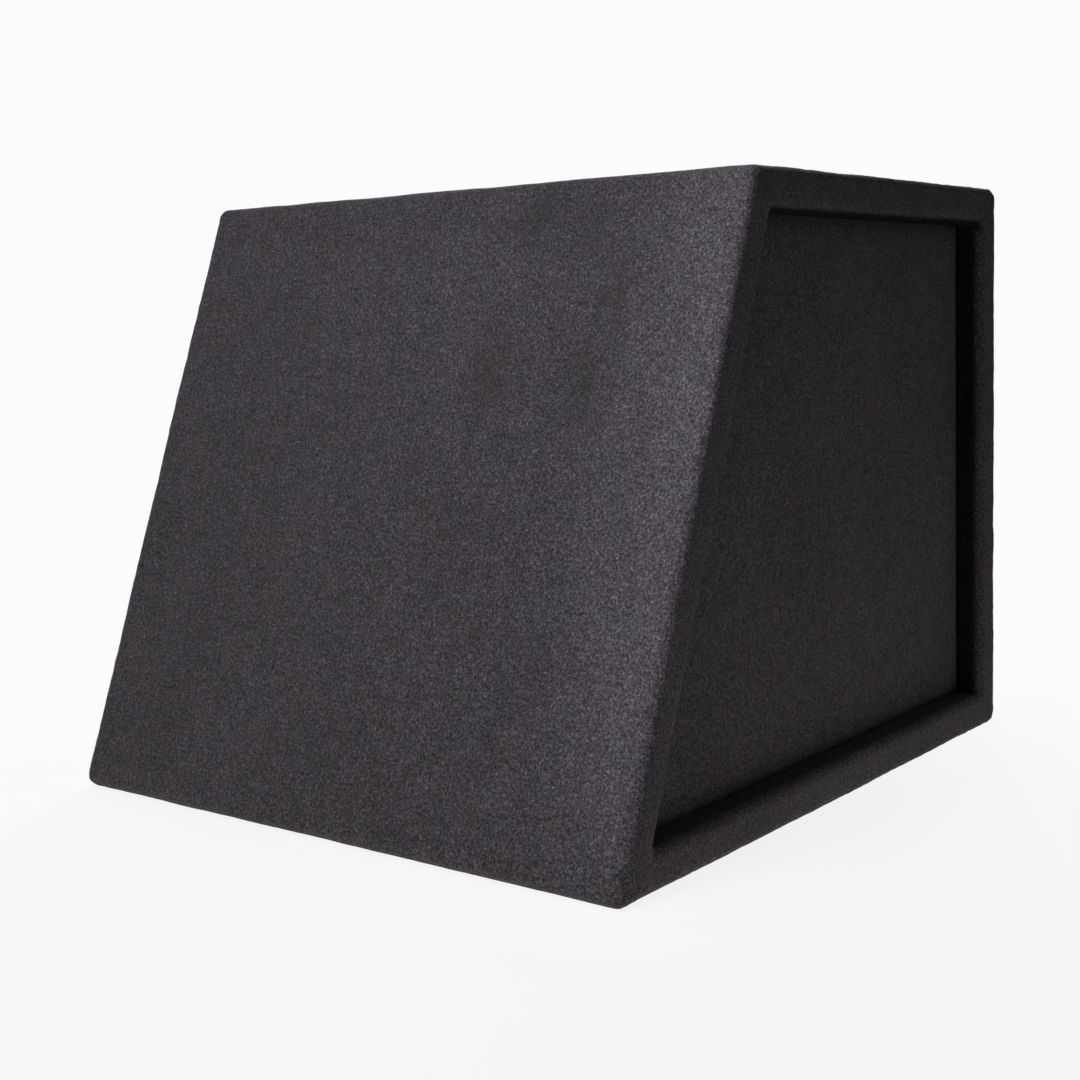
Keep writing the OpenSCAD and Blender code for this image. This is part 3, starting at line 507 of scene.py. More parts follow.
# ---- materials: each function fills the node tree n and returns its material
def felt(n, across):
    """Needle-punched felt: matted fibres in several greys, flecks, sheen, lint, marks and painted shade in
    the recesses.
    """
    combed = n.stretched([1.0 if k == across else 0.45 for k in range(3)])
    needled = n.stretched([1.0 if k == across else 0.035 for k in range(3)])
    grain = n.math("POWER", n.mottle(1.22, 3, 0.62, 0.28, 0.72), 1.7)
    fine = n.mottle(0.6, 2, 0.6, 0.28, 0.72)
    greys = (
        (fine, 0.5),
        (n.mottle(1.1, 3, 0.6, place=combed), 0.32),
        (n.mottle(3.4, 3, 0.6, 0.32, 0.68, needled), 0.07),
        (n.mottle(9, 2, 0.6), 0.11),
        (n.mottle(85, 2, 0.5, 0.34, 0.66), 0.07),
    )
    colour = n.mix(grain, shade(FELT, 0.26), shade(FELT, 3.02))
    for pattern, swing in greys:
        colour = n.tinted(colour, pattern, (1 - swing,) * 3, (1 + swing,) * 3)
    tint = n.mottle(2.2, 2, 0.5, 0.38, 0.62)
    colour = n.tinted(colour, tint, (1.07, 0.93, 1.08), (0.93, 1.06, 0.97), 0.4)
    colour = n.tinted(colour, n.mottle(24, 3, 0.55, 0.4, 0.66), WHITE, (1.06, 0.975, 0.985))
    uneven = n.stretched((1.0, 1.1, 0.9))
    for size in (1.9, 6):
        fleck = n.mottle(size, 2, 0.5, 0.36, 0.64, uneven)
        colour = n.tinted(colour, fleck, (1.018, 0.998, 0.987), (0.982, 1.0, 1.016))
    glint, glint_colour = n.cells(2.3)
    fibre = n.times(n.span(glint, 0.3, 0.16), n.chosen(glint_colour, "Green", 0.8, 0.81))
    colour = n.mix(n.times(fibre, 0.3), colour, shade(FELT, 4.4))
    speck, speck_colour = n.cells(6)
    lint = n.times(n.span(speck, 0.105, 0.06), n.chosen(speck_colour, "Red", 0.925, 0.93))
    colour = n.mix(n.times(lint, 0.62), colour, (0.3, 0.29, 0.265))
    colour = n.mix(n.times(n.attribute("seam"), 0.6), colour, (0.018, 0.013, 0.011))
    smudge = n.times(n.attribute("smudge"), n.mottle(11, 3, 0.6, 0.3, 0.56))
    colour = n.mix(n.times(smudge, 0.5), colour, (0.019, 0.0165, 0.018))
    # painted shade: darker colour, no sheen and little specular where the recess walls and the felt under
    # the top rim lie in shade
    painted_shade = n.attribute("painted_shade")
    colour = n.tinted(colour, painted_shade, WHITE, (0.24, 0.24, 0.25))
    n.set(Sheen_Weight=n.span(painted_shade, 0, 1, 0.08, 0.0), Sheen_Roughness=0.55)
    n.set(Sheen_Tint=(0.85, 0.84, 0.9), Specular_IOR_Level=n.span(painted_shade, 0, 1, 0.2, 0.03))
    relief = ((grain, 0.5, 0.45), (fine, 0.22, 0.4), (n.noise(14), 0.5, 0.5))
    return n.finish(colour, n.span(grain, 0, 1, 0.98, 0.86), *relief)


def board(n):
    """Fibreboard: pale brown, finely flecked, with darker clouds."""
    fleck = n.mottle(1.2, 4, 0.7)
    colour = n.mix(fleck, (0.31, 0.21, 0.12), (0.5, 0.37, 0.24))
    colour = n.tinted(colour, n.mottle(40, 3, 0.5), (0.86, 0.85, 0.84), (1.08, 1.07, 1.05))
    rough = n.span(fleck, 0, 1, 0.72, 0.9)
    return n.finish(colour, rough, (fleck, 0.12, 0.6), Specular_IOR_Level=0.3)


def softwood(n):
    """Sawn softwood: growth rings and long fibres."""
    ring = n.wave(5, "Z", n.stretched((0.1, 0.6, 1.0)), 6.0)
    fibre = n.mottle(1.6, 4, 0.6, place=n.stretched((0.12, 1.0, 1.0)))
    colour = n.mix(ring, (0.68, 0.5, 0.3), (0.5, 0.33, 0.17))
    colour = n.tinted(colour, fibre, (0.85, 0.83, 0.8), (1.06, 1.05, 1.04))
    return n.finish(colour, n.span(fibre, 0, 1, 0.65, 0.85), (fibre, 0.15, 0.6))


def coated(n, colour, grain, relief, gloss):
    """Painted, powder-coated or moulded: fine relief, uneven gloss and dust."""
    cloud = n.mottle(25, 3, 0.55)
    dust = n.mottle(3.5, 4, 0.7, 0.5, 0.8)
    shown = n.mix(cloud, shade(colour, 0.82), shade(colour, 1.18))
    shown = n.mix(n.times(dust, 0.12), shown, (0.22, 0.21, 0.2))
    rough = n.math("ADD", n.span(cloud, 0, 1, gloss - 0.05, gloss + 0.06), n.times(dust, 0.1))
    return n.finish(shown, rough, (n.noise(grain), relief, 0.8), Specular_IOR_Level=0.45)


def metal(n, colour, gloss, scratch):
    """Bare or plated metal: scratches, smudges and slight colour drift."""
    line = n.noise(scratch, 3, 0.7)
    smudge = n.mottle(12, 3, 0.6, 0.35, 0.7)
    shown = n.mix(smudge, shade(colour, 0.88), shade(colour, 1.08))
    rough = n.math("ADD", n.span(line, 0.3, 0.7, gloss - 0.06, gloss + 0.08), n.times(smudge, 0.08))
    return n.finish(shown, rough, (line, 0.03, 0.5), Metallic=1.0)


def cloth(n, colour, thread, dull):
    """Woven cloth seen close: crossing threads, doped or dipped."""
    weave = n.math("MAXIMUM", *[n.span(n.wave(thread, axis), 0.2, 1) for axis in "XZ"])
    cloud = n.mottle(9, 3, 0.6)
    shown = n.mix(weave, shade(colour, 0.55), shade(colour, 1.2))
    shown = n.tinted(shown, cloud, (0.85, 0.85, 0.85), (1.1, 1.1, 1.1))
    return n.finish(shown, n.span(cloud, 0, 1, dull - 0.08, dull + 0.1), (weave, 0.12, 0.7))


def paper(n, colour):
    """Pressed paper pulp: matted fibres, faint rings from the mould."""
    fibre = n.mottle(1.1, 4, 0.72, 0.32, 0.68, bend=1.4)
    ring = n.math("SINE", n.times(n.rings((0, 0, WOOFER_Z), 1), 2 * math.pi / (1.3 * MM)))
    shown = n.mix(fibre, shade(colour, 0.6), shade(colour, 1.6))
    shown = n.tinted(shown, n.mottle(15, 2, 0.5), (0.88, 0.88, 0.88), (1.1, 1.1, 1.12))
    relief = ((fibre, 0.14, 0.7), (ring, 0.03, 0.4))
    return n.finish(shown, n.span(fibre, 0, 1, 0.62, 0.85), *relief, Specular_IOR_Level=0.35)


def wadding(n):
    """White polyester wadding: loose cloudy fibre."""
    fluff = n.mottle(3, 5, 0.7, bend=1.0)
    shown = n.mix(fluff, (0.6, 0.59, 0.56), (0.86, 0.85, 0.82))
    relief = ((fluff, 1.2, 0.8), (n.mottle(0.9, 3, 0.7, bend=2.0), 0.4, 0.7))
    return n.finish(shown, 0.95, *relief, Sheen_Weight=0.4, Specular_IOR_Level=0.1)


def foam(n):
    """Closed-cell foam: small pits."""
    pit, _ = n.cells(0.8)
    shown = n.mix(n.span(pit, 0, 0.5), (0.008, 0.008, 0.008), (0.03, 0.03, 0.03))
    rough = n.span(n.mottle(6, 2, 0.5), 0, 1, 0.85, 0.95)
    return n.finish(shown, rough, (pit, 0.15, 0.7), Specular_IOR_Level=0.25)


def copper(n):
    """Enamelled copper wire wound in fine turns, or braided."""
    turn = n.wave(0.5, "Y")
    drift = n.mottle(4, 2, 0.5)
    shown = n.mix(turn, (0.38, 0.16, 0.08), (0.72, 0.36, 0.2))
    shown = n.mix(n.times(drift, 0.3), shown, (0.5, 0.2, 0.08))
    return n.finish(shown, n.span(drift, 0, 1, 0.26, 0.4), (turn, 0.12, 0.8), Metallic=1.0)


def former(n):
    """Thin rolled coil former with a satin skin."""
    rolled = n.noise(0.6, place=n.stretched((1.0, 0.1, 1.0)))
    shown = n.mix(n.span(rolled, 0.3, 0.7), (0.5, 0.42, 0.3), (0.68, 0.61, 0.48))
    rough = n.span(rolled, 0.3, 0.7, 0.35, 0.5)
    return n.finish(shown, rough, (rolled, 0.03, 0.5), Metallic=0.6)


def stage(n, colour):
    """Pale floor that fades into the background far off and throws soft light up near the cabinet."""
    cloud = n.mottle(60, 3, 0.5)
    n.set(Base_Color=n.mix(cloud, shade(colour, 0.985), shade(colour, 1.01)))
    n.set(Roughness=0.9, Specular_IOR_Level=0.1)
    distance = n.rings(BOUNCE_MIDDLE, 2)
    far = n.node("Emission", {"Color": BACKDROP}).outputs[0]
    fade = n.span(distance, *FLOOR_FADE, *FLOOR_GLOW, curve="SMOOTHSTEP")
    seen = n.mix_shader(fade, n.surface.outputs["BSDF"], far)
    strength = n.span(distance, *BOUNCE_REACH, *BOUNCE_LIGHT, curve="SMOOTHSTEP")
    bounce = n.node("Emission", {"Color": BOUNCE_COLOUR, "Strength": strength}).outputs[0]
    shown = n.mix_shader(n.node("LightPath").outputs["Is Camera Ray"], bounce, seen)
    n.put(n.tree.nodes["Material Output"].inputs["Surface"], shown)
    return n.owner


MATERIALS = {slot: build(new_material(slot), *values) for slot, build, *values in (
    ("board", board),
    ("softwood", softwood),
    ("carpet", felt, 0),
    ("wadding", wadding),
    ("foam", foam),
    ("former", former),
    ("copper", copper),
    ("cone_paper", paper, (0.03, 0.03, 0.033)),
    ("surround_cloth", cloth, (0.02, 0.02, 0.022), 0.7, 0.5),
    ("spider_cloth", cloth, (0.45, 0.3, 0.11), 0.8, 0.7),
    ("plain_steel", metal, (0.58, 0.58, 0.57), 0.34, 0.7),
    ("plated_steel", metal, (0.07, 0.07, 0.075), 0.42, 0.8),
    ("brass", metal, (0.83, 0.6, 0.24), 0.2, 0.5),
    ("cast_frame", coated, (0.022, 0.022, 0.024), 1.1, 0.16, 0.52),
    ("black_steel", coated, (0.014, 0.014, 0.015), 0.8, 0.07, 0.4),
    ("ferrite", coated, (0.045, 0.045, 0.048), 0.5, 0.08, 0.68),
    ("fibre_board", coated, (0.2, 0.11, 0.055), 0.6, 0.04, 0.45),
    ("cup_plastic", coated, (0.018, 0.018, 0.019), 0.55, 0.09, 0.5),
    ("black_plastic", coated, (0.012, 0.012, 0.013), 1.5, 0.02, 0.3),
    ("red_plastic", coated, (0.42, 0.012, 0.012), 1.5, 0.02, 0.28),
    ("red_insulation", coated, (0.38, 0.018, 0.016), 2, 0.03, 0.42),
    ("black_insulation", coated, (0.016, 0.016, 0.017), 2, 0.03, 0.42),
)}
SIDE_FELT = felt(new_material("side_felt"), 1)


# ---- the felt wrap
def wedge_corner(index, inset):
    """A corner of the side outline moved inwards: 0 base front, 1 base back, 2 top back, 3 top front."""
    z = inset if index in (0, 1) else HEIGHT - inset
    if index in (0, 3):
        return np.array([FRONT + inset, z])
    return np.array([BASE_BACK - z * math.tan(TILT) - inset / math.cos(TILT), z])


def edge_shares(length, seam):
    """Where the felt's points lie along a straight edge, as shares of it: close near ends and seam."""
    near = np.arange(0, END_REACH, END_PITCH)
    steps = int((length - 2 * END_REACH) / FELT_PITCH) + 2
    places = [near, np.linspace(END_REACH, length - END_REACH, steps), length - near]
    if seam:
        places.append(seam * length + np.arange(-4, 5) * SEAM_PITCH)
    return np.unique(np.round(np.concatenate(places) / length, 6))


def outline_columns():
    """The felt's columns round the outline: which edge or corner, and the share along it."""
    columns = []
    for edge in range(4):
        start, end = wedge_corner(edge, 0), wedge_corner((edge + 1) % 4, 0)
        shares = edge_shares(np.linalg.norm(end - start), SEAM_ON_BASE if edge == 0 else 0)
        columns += [("edge", edge, s) for s in shares]
        columns += [("corner", (edge + 1) % 4, k / CORNER_STEPS) for k in range(1, CORNER_STEPS)]
    return columns


def outline_points(columns, inset, radius):
    """The outline's points at one inset, its corners rounded to radius."""
    headings = [math.atan2(normal[1], normal[0]) for normal in EDGE_NORMALS]
    centres = [wedge_corner(corner, inset + radius) for corner in range(4)]
    points = []
    for kind, index, share in columns:
        if kind == "corner":
            turn = (headings[index] - headings[index - 1]) % (2 * math.pi)
            angle = headings[index - 1] + turn * share
            points.append(centres[index] + radius * np.array([math.cos(angle), math.sin(angle)]))
        else:
            normal = radius * np.array(EDGE_NORMALS[index])
            start, end = centres[index] + normal, centres[(index + 1) % 4] + normal
            points.append(start + (end - start) * share)
    return np.array(points)


def rim_path(skin, inner_round, outer_round, steps, face_pitch, turn_steps=ROUND_STEPS):
    """The felt's section over half of the cabinet, as (inset, x), from the recess wall to the middle."""
    wall = BOARD_INSET + CARPET - skin
    edge = HALF_WIDTH - skin
    turns = [math.pi / 2 * k / turn_steps for k in range(turn_steps + 1)]
    path = [(wall, x) for x in np.linspace(SIDE_FACE - WALL_TUCK, edge - inner_round, steps)[:-1]]
    for a in turns:
        path.append((wall - inner_round * (1 - math.cos(a)), edge - inner_round * (1 - math.sin(a))))
    path += [(d, edge) for d in np.linspace(wall - inner_round, skin + outer_round, steps)[1:-1]]
    for a in turns:
        path.append((skin + outer_round * (1 - math.sin(a)), edge - outer_round * (1 - math.cos(a))))
    return path + [(skin, x) for x in np.linspace(edge - outer_round, 0, int(edge / face_pitch) + 1)[1:]]


def felt_rows(columns, path):
    """Points for a section path and its mirror image, shaped (rows, columns, 3), and the rows' insets."""
    section = path + [(d, -x) for d, x in path[-2::-1]]
    rows = []
    for inset, x in section:
        outline = outline_points(columns, inset, max(OUTER_CORNER - inset, INNER_CORNER))
        rows.append(np.column_stack([np.full(len(outline), x), outline]))
    return np.array(rows), np.array([inset for inset, x in section])


def mitre_distance(points):
    """Side view: signed distance from the nearest corner's mitre, that corner's distance, its seam."""
    across, reach = [], []
    for corner in range(4):
        outer, inner = wedge_corner(corner, 0), wedge_corner(corner, OPENING_INSET)
        line = (inner - outer) / np.linalg.norm(inner - outer)
        offset = points[:, 1:] - outer
        across.append(offset[:, 0] * line[1] - offset[:, 1] * line[0])
        reach.append(np.linalg.norm(points[:, 1:] - (outer + inner) / 2, axis=1))
    nearest = np.argmin(reach, axis=0)
    every = np.arange(len(points))
    return np.array(across)[nearest, every], np.min(reach, axis=0), np.array(MITRE_SHOWS)[nearest]


def felt_relief(points, insets):
    """How far the felt's outer face stands off its even shape, and how far each point is in a seam."""
    from_end = HALF_WIDTH - np.abs(points[:, 0])
    sag = 0.09 * smooth_noise(points, 52 * MM, 11) + 0.05 * smooth_noise(points, 19 * MM, 12)
    ripple = 0.075 * smooth_noise(points, 6.5 * MM, 13)
    on_edge = 1 - ease(from_end, 7 * MM, 16 * MM)
    on_wall = ease(insets, OPENING_INSET - 3 * MM, OPENING_INSET)
    relief = sag * (1 - 0.6 * on_wall) + ripple * (0.25 + 0.75 * on_edge) * (1 - 0.5 * on_wall)
    signed, reach, shows = mitre_distance(points)
    near_corner = on_edge * (1 - ease(reach, 16 * MM, 26 * MM))
    waves = np.sin(signed * 2 * math.pi / (5.2 * MM) + 0.9)
    gather = 0.17 * waves * hump(signed, 7 * MM) * near_corner
    groove = 0.6 * hump(signed, 0.9 * MM) * near_corner * shows
    lift = 0.14 * hump(np.abs(signed) - 2.6 * MM, 1.6 * MM) * near_corner
    seam = near_corner * shows * hump(signed, 0.75 * MM)
    return (relief + gather - groove + lift) * MM, seam


def smudges(points):
    """Soft handling marks on the slope, 0 to 1."""
    on_slope = ease(points @ np.array(SLOPE_OUT), 50 * MM, 90 * MM)
    marks = np.zeros(len(points))
    for across, up, size in SMUDGES:
        x = (points[:, 0] - across * HALF_WIDTH) / (1.1 * size * HALF_WIDTH)
        z = (points[:, 2] - up * HEIGHT) / (size * HEIGHT)
        marks = np.maximum(marks, hump(x, 1) * hump(z, 1))
    return marks * on_slope


def painted_recess_shade(points, insets):
    """Painted shade on the felt in the recess, 0 to 1: most on the top and front walls."""
    depth = HALF_WIDTH - np.abs(points[:, 0])
    wall = ease(insets, OPENING_INSET - 1.2 * MM, OPENING_INSET) * ease(depth, 0, 7 * MM)
    lip = ease(insets, OPENING_INSET - 5 * MM, OPENING_INSET - 1.5 * MM) * ease(depth, 0, 2.5 * MM)
    top = ease(points[:, 2] - HEIGHT + OPENING_INSET, -6 * MM, -2 * MM)
    front = ease(FRONT + OPENING_INSET - points[:, 1], -6 * MM, -2 * MM)
    return np.maximum(lip * top, wall * np.maximum(0.2, front))


def base_seam(points):
    """The butt joint of the wrap, under the cabinet: how deep it is, 0 to 1."""
    start, end = wedge_corner(0, OUTER_CORNER), wedge_corner(1, OUTER_CORNER)
    middle = start[0] + (end[0] - start[0]) * SEAM_ON_BASE
    under = 1 - ease(points[:, 2], 1 * MM, 3 * MM)
    return under * hump(points[:, 1] - middle, 0.7 * MM)


def outward(grid):
    """Normals of the felt's outer face that point away from the cabinet, one to a point."""
    normals = np.cross(np.gradient(grid, axis=0), np.roll(grid, -1, 1) - np.roll(grid, 1, 1))
    normals /= np.linalg.norm(normals, axis=2, keepdims=True)
    probe = (grid.shape[0] // 2, grid.shape[1] // 8)
    centre = np.array([0, (FRONT + BASE_BACK) / 2, HEIGHT / 2])
    if normals[probe] @ (grid[probe] - centre) < 0:
        normals = -normals
    return normals.reshape(-1, 3)


def build_wrap():
    """The felt glued round the cabinet and folded over both rims into the recesses."""
    columns = outline_columns()
    tight = rim_path(0, RIM_INNER_ROUND, RIM_OUTER_ROUND, 6, FELT_PITCH)
    slack = rim_path(0, RIM_INNER_ROUND, RIM_LOOSE_ROUND, 6, FELT_PITCH)
    outer, insets = felt_rows(columns, tight)
    from_corner = np.linalg.norm(outer[:, :, 1:] - wedge_corner(1, 0), axis=2)
    share = (1 - ease(from_corner, *LOOSE_REACH))[..., None]
    outer = outer * (1 - share) + felt_rows(columns, slack)[0] * share
    flat = outer.reshape(-1, 3)
    insets = np.repeat(insets, len(columns))
    relief, seam = felt_relief(flat, insets)
    joint = base_seam(flat)
    relief -= SEAM_DEPTH * joint
    raised = (flat + outward(outer) * relief[:, None]).reshape(outer.shape)
    inner, _ = felt_rows(columns, rim_path(CARPET, BACKING_ROUND, BACKING_ROUND, 3, 100 * MM, 3))
    both = np.concatenate([raised, inner[::-1]])
    faces = grid_faces(both.shape[0], len(columns), True, True)
    piece = link_mesh("felt_wrap", both.reshape(-1, 3), faces)
    store(piece, "seam", np.maximum(seam, joint))
    store(piece, "smudge", smudges(flat))
    # painted shade in the recesses, read by the felt material
    store(piece, "painted_shade", painted_recess_shade(flat, insets))
    tidy_mesh(piece)
    cut(piece, woofer_cutter(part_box("surround")[1].x + 2.5 * MM))
    dress(piece, "cabinet", ["carpet_wrap"], "carpet")


def woofer_cutter(radius, reach=12 * MM, sides=160):
    """A drum on the woofer's axis through the front felt."""
    ends = (-reach, reach)
    points = [woofer_point(radius, a, forward) for forward in ends for a in even_turns(sides)]
    return make_mesh("felt_cutter", points, tube_faces(2, sides))


# ---- the side felts
def sheet_points(corners, rows, columns):
    """Even grid over four corners given round the outline."""
    u, v = np.meshgrid(np.linspace(0, 1, rows), np.linspace(0, 1, columns), indexing="ij")
    a, b, c, d = [np.array(p) for p in corners]
    u, v = u[..., None], v[..., None]
    return a * (1 - u) * (1 - v) + b * u * (1 - v) + c * u * v + d * (1 - u) * v


def distance_inside(points, inset):
    """How far points of the side view lie inside the outline at one inset."""
    starts = [wedge_corner(edge, inset) for edge in range(4)]
    distances = [-(points - start) @ np.array(normal) for start, normal in zip(starts, EDGE_NORMALS)]
    return np.min(distances, axis=0)


def build_side_felt(node, side, seed):
    """The felt on one recessed side panel, its edges pressed down where the wrap meets it, with painted
    shade just under the top rim.
    """
    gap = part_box(node)[0].z
    flat = sheet_points([wedge_corner(k, gap) for k in range(4)], *SIDE_GRID).reshape(-1, 2)
    inside = distance_inside(flat, OPENING_INSET)
    spread = np.column_stack([np.zeros(len(flat)), flat])
    tuck = EDGE_TUCK * (1 - ease(inside, 0, 3.4 * MM))
    wavy = 0.13 * smooth_noise(spread, 48 * MM, seed) + 0.09 * smooth_noise(spread, 17 * MM, seed + 1)
    swell = EDGE_SINK * (np.sin(np.clip(inside / (60 * MM), 0, 1) * math.pi / 2) - 1)
    height = SIDE_FACE + swell - tuck + wavy * ease(inside, 0, 12 * MM) * MM
    top = np.column_stack([side * height, flat])
    under = np.column_stack([np.full(len(flat), side * SIDE_BACK), flat])
    points = np.concatenate([top, under])
    piece = make_mesh(node.replace("carpet", "felt"), points, sheet_faces(*SIDE_GRID))
    # painted shadow on the side felt just under the top rim, fading out over 15 mm downwards
    drop = HEIGHT - OPENING_INSET - mesh_points(piece)[:, 2]
    store(piece, "painted_shade", 0.32 * (1 - ease(drop, 0, 15 * MM)))
    if side > 0:
        cut(piece, cup_cutter(4 * MM))
    dress(piece, "cabinet", [node], "carpet", SIDE_FELT)


def cup_cutter(radius, reach=5 * MM, lap=9.5 * MM):
    """A block through the right side felt where the terminal cup sits."""
    low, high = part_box("terminal_gasket")
    middle, half = (low + high) / 2, (high - low) / 2
    outline = rounded_rectangle(half.y - lap, half.z - lap, radius)
    ends = (SIDE_BACK - reach, SIDE_FACE + reach)
    points = [(x, middle.y + u, middle.z + v) for x in ends for u, v in outline]
    return make_mesh("cup_cutter", points, tube_faces(2, len(outline)))


# ---- soft parts of the woofer
def set_blend(piece):
    """Bakes the piece's placement into its points."""
    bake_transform(piece)


def blend_by_radius(piece):
    """Bakes the piece's placement into its points, as set_blend does."""
    points = mesh_points(piece)
    set_blend(piece)


def cone_forward(radius):
    """How far the cone's face stands forward at one radius."""
    share = (radius - CONE_NECK) / (CONE_RIM - RIM_FLAT - CONE_NECK)
    ribs = sum(RIB_HEIGHT * hump(radius - r, RIB_WIDTH) for r in CONE_RIBS)
    return NECK_FORWARD + (RIM_FORWARD - NECK_FORWARD) * max(share, 0) ** CONE_CURVE + ribs


def build_cone():
    """Paper cone with three pressed ribs and a flat rim under the surround."""
    start = CONE_NECK + 0.05 * MM
    line = [(r, cone_forward(r)) for r in np.linspace(start, CONE_RIM - RIM_FLAT, 74)]
    line += [(r, RIM_FORWARD) for r in np.linspace(CONE_RIM - RIM_FLAT, CONE_RIM, 5)[1:]]
    profile = closed_skin(line, CONE_SKIN)
    profile[-1] = (start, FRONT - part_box("cone")[1].y)
    make_piece("paper_cone", *revolve(profile, 160), "cone_assembly", ["cone"], "cone_paper")


def build_dust_cap():
    """Pressed paper dome glued to the cone, with a small bead of glue round it."""
    low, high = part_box("dust_cap")
    radius, height = high.x, high.y - low.y
    ball = (radius ** 2 + height ** 2) / (2 * height)
    base = FRONT - high.y - (ball - height)
    line = [(r, base + math.sqrt(ball ** 2 - r ** 2)) for r in np.linspace(0, radius, 40)]
    profile = closed_skin(line, CAP_SKIN)
    make_piece("paper_dust_cap", *revolve(profile, 128), "cone_assembly", ["dust_cap"], "cone_paper")
    middle = radius + GLUE_OUT
    forward = cone_forward(middle) + 0.3 * MM
    ring = []
    for a in even_turns(12):
        ring.append((middle + GLUE_BEAD * math.cos(a), forward + 0.7 * GLUE_BEAD * math.sin(a)))
    points, faces = revolve(ring, 128)
    points = np.array(points)
    points[:, 1] -= 0.12 * MM * smooth_noise(points, 12 * MM, 41)
    glue = MATERIALS["black_plastic"]
    make_piece("dust_cap_glue", points, faces, "cone_assembly", (), "surround_cloth", glue)


def build_surround():
    """Doped cloth edge: a flat lip, one and a half rolls, and a lip under the trim gasket."""
    base = RIM_FORWARD + SURROUND_SKIN
    inner, outer = SURROUND_ROLL
    line = [(r, base) for r in np.linspace(CONE_RIM - SURROUND_LAP, inner, 6)[:-1]]
    for r in np.linspace(inner, outer, 56):
        t = (r - inner) / (outer - inner)
        window = math.sin(math.pi * t) ** 0.4 if 0 < t < 1 else 0
        line.append((r, base + ROLL_HEIGHT * math.sin(3 * math.pi * t) * window))
    line += [(r, base) for r in np.linspace(outer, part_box("surround")[1].x, 7)[1:]]
    points, faces = revolve(closed_skin(line, SURROUND_SKIN - 0.02 * MM), 192)
    piece = make_piece("cloth_surround", points, faces, None, ["surround"], "surround_cloth")
    blend_by_radius(piece)


def build_spider():
    """Corrugated cloth disc that centres the coil."""
    low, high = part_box("spider")
    face = FRONT - (low.y + high.y) / 2 + SPIDER_SKIN / 2
    inner, outer = SPIDER_ROLL
    line = [(CONE_NECK + 0.03 * MM, face), (CONE_NECK + 1 * MM, face)]
    for r in np.linspace(inner, outer, 96):
        t = (r - inner) / (outer - inner)
        line.append((r, face + SPIDER_HEIGHT * math.sin(2 * math.pi * SPIDER_WAVES * t)))
    line += [(r, face) for r in np.linspace(outer, high.x, 5)[1:]]
    points, faces = revolve(closed_skin(line, SPIDER_SKIN), 160)
    piece = make_piece("cloth_spider", points, faces, None, ["spider"], "spider_cloth")
    blend_by_radius(piece)


def lead_path(side):
    """One lead's middle line from the terminal strip to the back of the cone."""
    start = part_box("tinsel_leads")[1].x
    low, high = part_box("woofer_tags")
    tag = FRONT - (low.y + high.y) / 2
    cone = cone_forward(LEAD_RADIUS) - CONE_SKIN - 1.2 * MM
    path = []
    for k in range(LEAD_STEPS + 1):
        t = k / LEAD_STEPS
        bow = math.sin(math.pi * t)
        radius = start - 0.5 * MM + (LEAD_RADIUS - start) * t
        forward = tag + (cone - tag) * ease(t, 0, 1) - LEAD_SAG * bow ** 2
        path.append((radius, FRONT - forward, WOOFER_Z + side * (LEAD_SPREAD + 2.5 * MM * bow)))
    return path


def build_leads():
    """Two braided leads that loop from the terminal strip to the back of the cone."""
    points, faces, weights = [], [], []
    for side in (-1, 1):
        ring_points, along = tube(lead_path(side), LEAD_THICK)
        sides = len(ring_points) // (LEAD_STEPS + 1)
        faces += [tuple(int(i) + len(points) for i in f) for f in tube_faces(LEAD_STEPS + 1, sides)]
        points += ring_points
        weights += list(ease(along, 0.05, 0.95))
    piece = make_piece("braided_leads", points, faces, None, ["tinsel_leads"], "copper")
    set_blend(piece)


# ---- gaskets and wadding
def build_round_gasket(name, node, inner, forward_low, forward_high, steps=8):
    """A foam ring whose pressed edges bulge a little."""
    height = forward_high - forward_low
    middle = (forward_low + forward_high) / 2
    bulge = 0.3 * height
    profile = []
    for edge, turn in ((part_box(node)[1].x - bulge, -math.pi / 2), (inner + bulge, math.pi / 2)):
        for k in range(steps + 1):
            a = turn + math.pi * k / steps
            profile.append((edge + bulge * math.cos(a), middle + height / 2 * math.sin(a)))
    make_piece(name, *revolve(profile, 160), "cabinet", [node], "foam")


def squared(value, power):
    """A cosine or sine made to stay near its ends for longer."""
    return math.copysign(abs(value) ** power, value)


def build_cup_gasket(steps=12):
    """The foam frame under the terminal cup's flange."""
    low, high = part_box("terminal_gasket")
    middle, half = (low + high) / 2, (high - low) / 2
    points = []
    for a in even_turns(steps):
        shift = GASKET_FRAME / 2 * (1 - squared(math.cos(a), 0.3))
        x = middle.x + half.x * squared(math.sin(a), 0.7)
        outline = rounded_rectangle(half.y - shift, half.z - shift, max(GASKET_FRAME - shift, 1.5 * MM))
        points += [(x, middle.y + u, middle.z + v) for u, v in outline]
    faces = grid_faces(steps, len(outline), True, True)
    make_piece("cup_gasket", points, faces, "cabinet", ["terminal_gasket"], "foam")


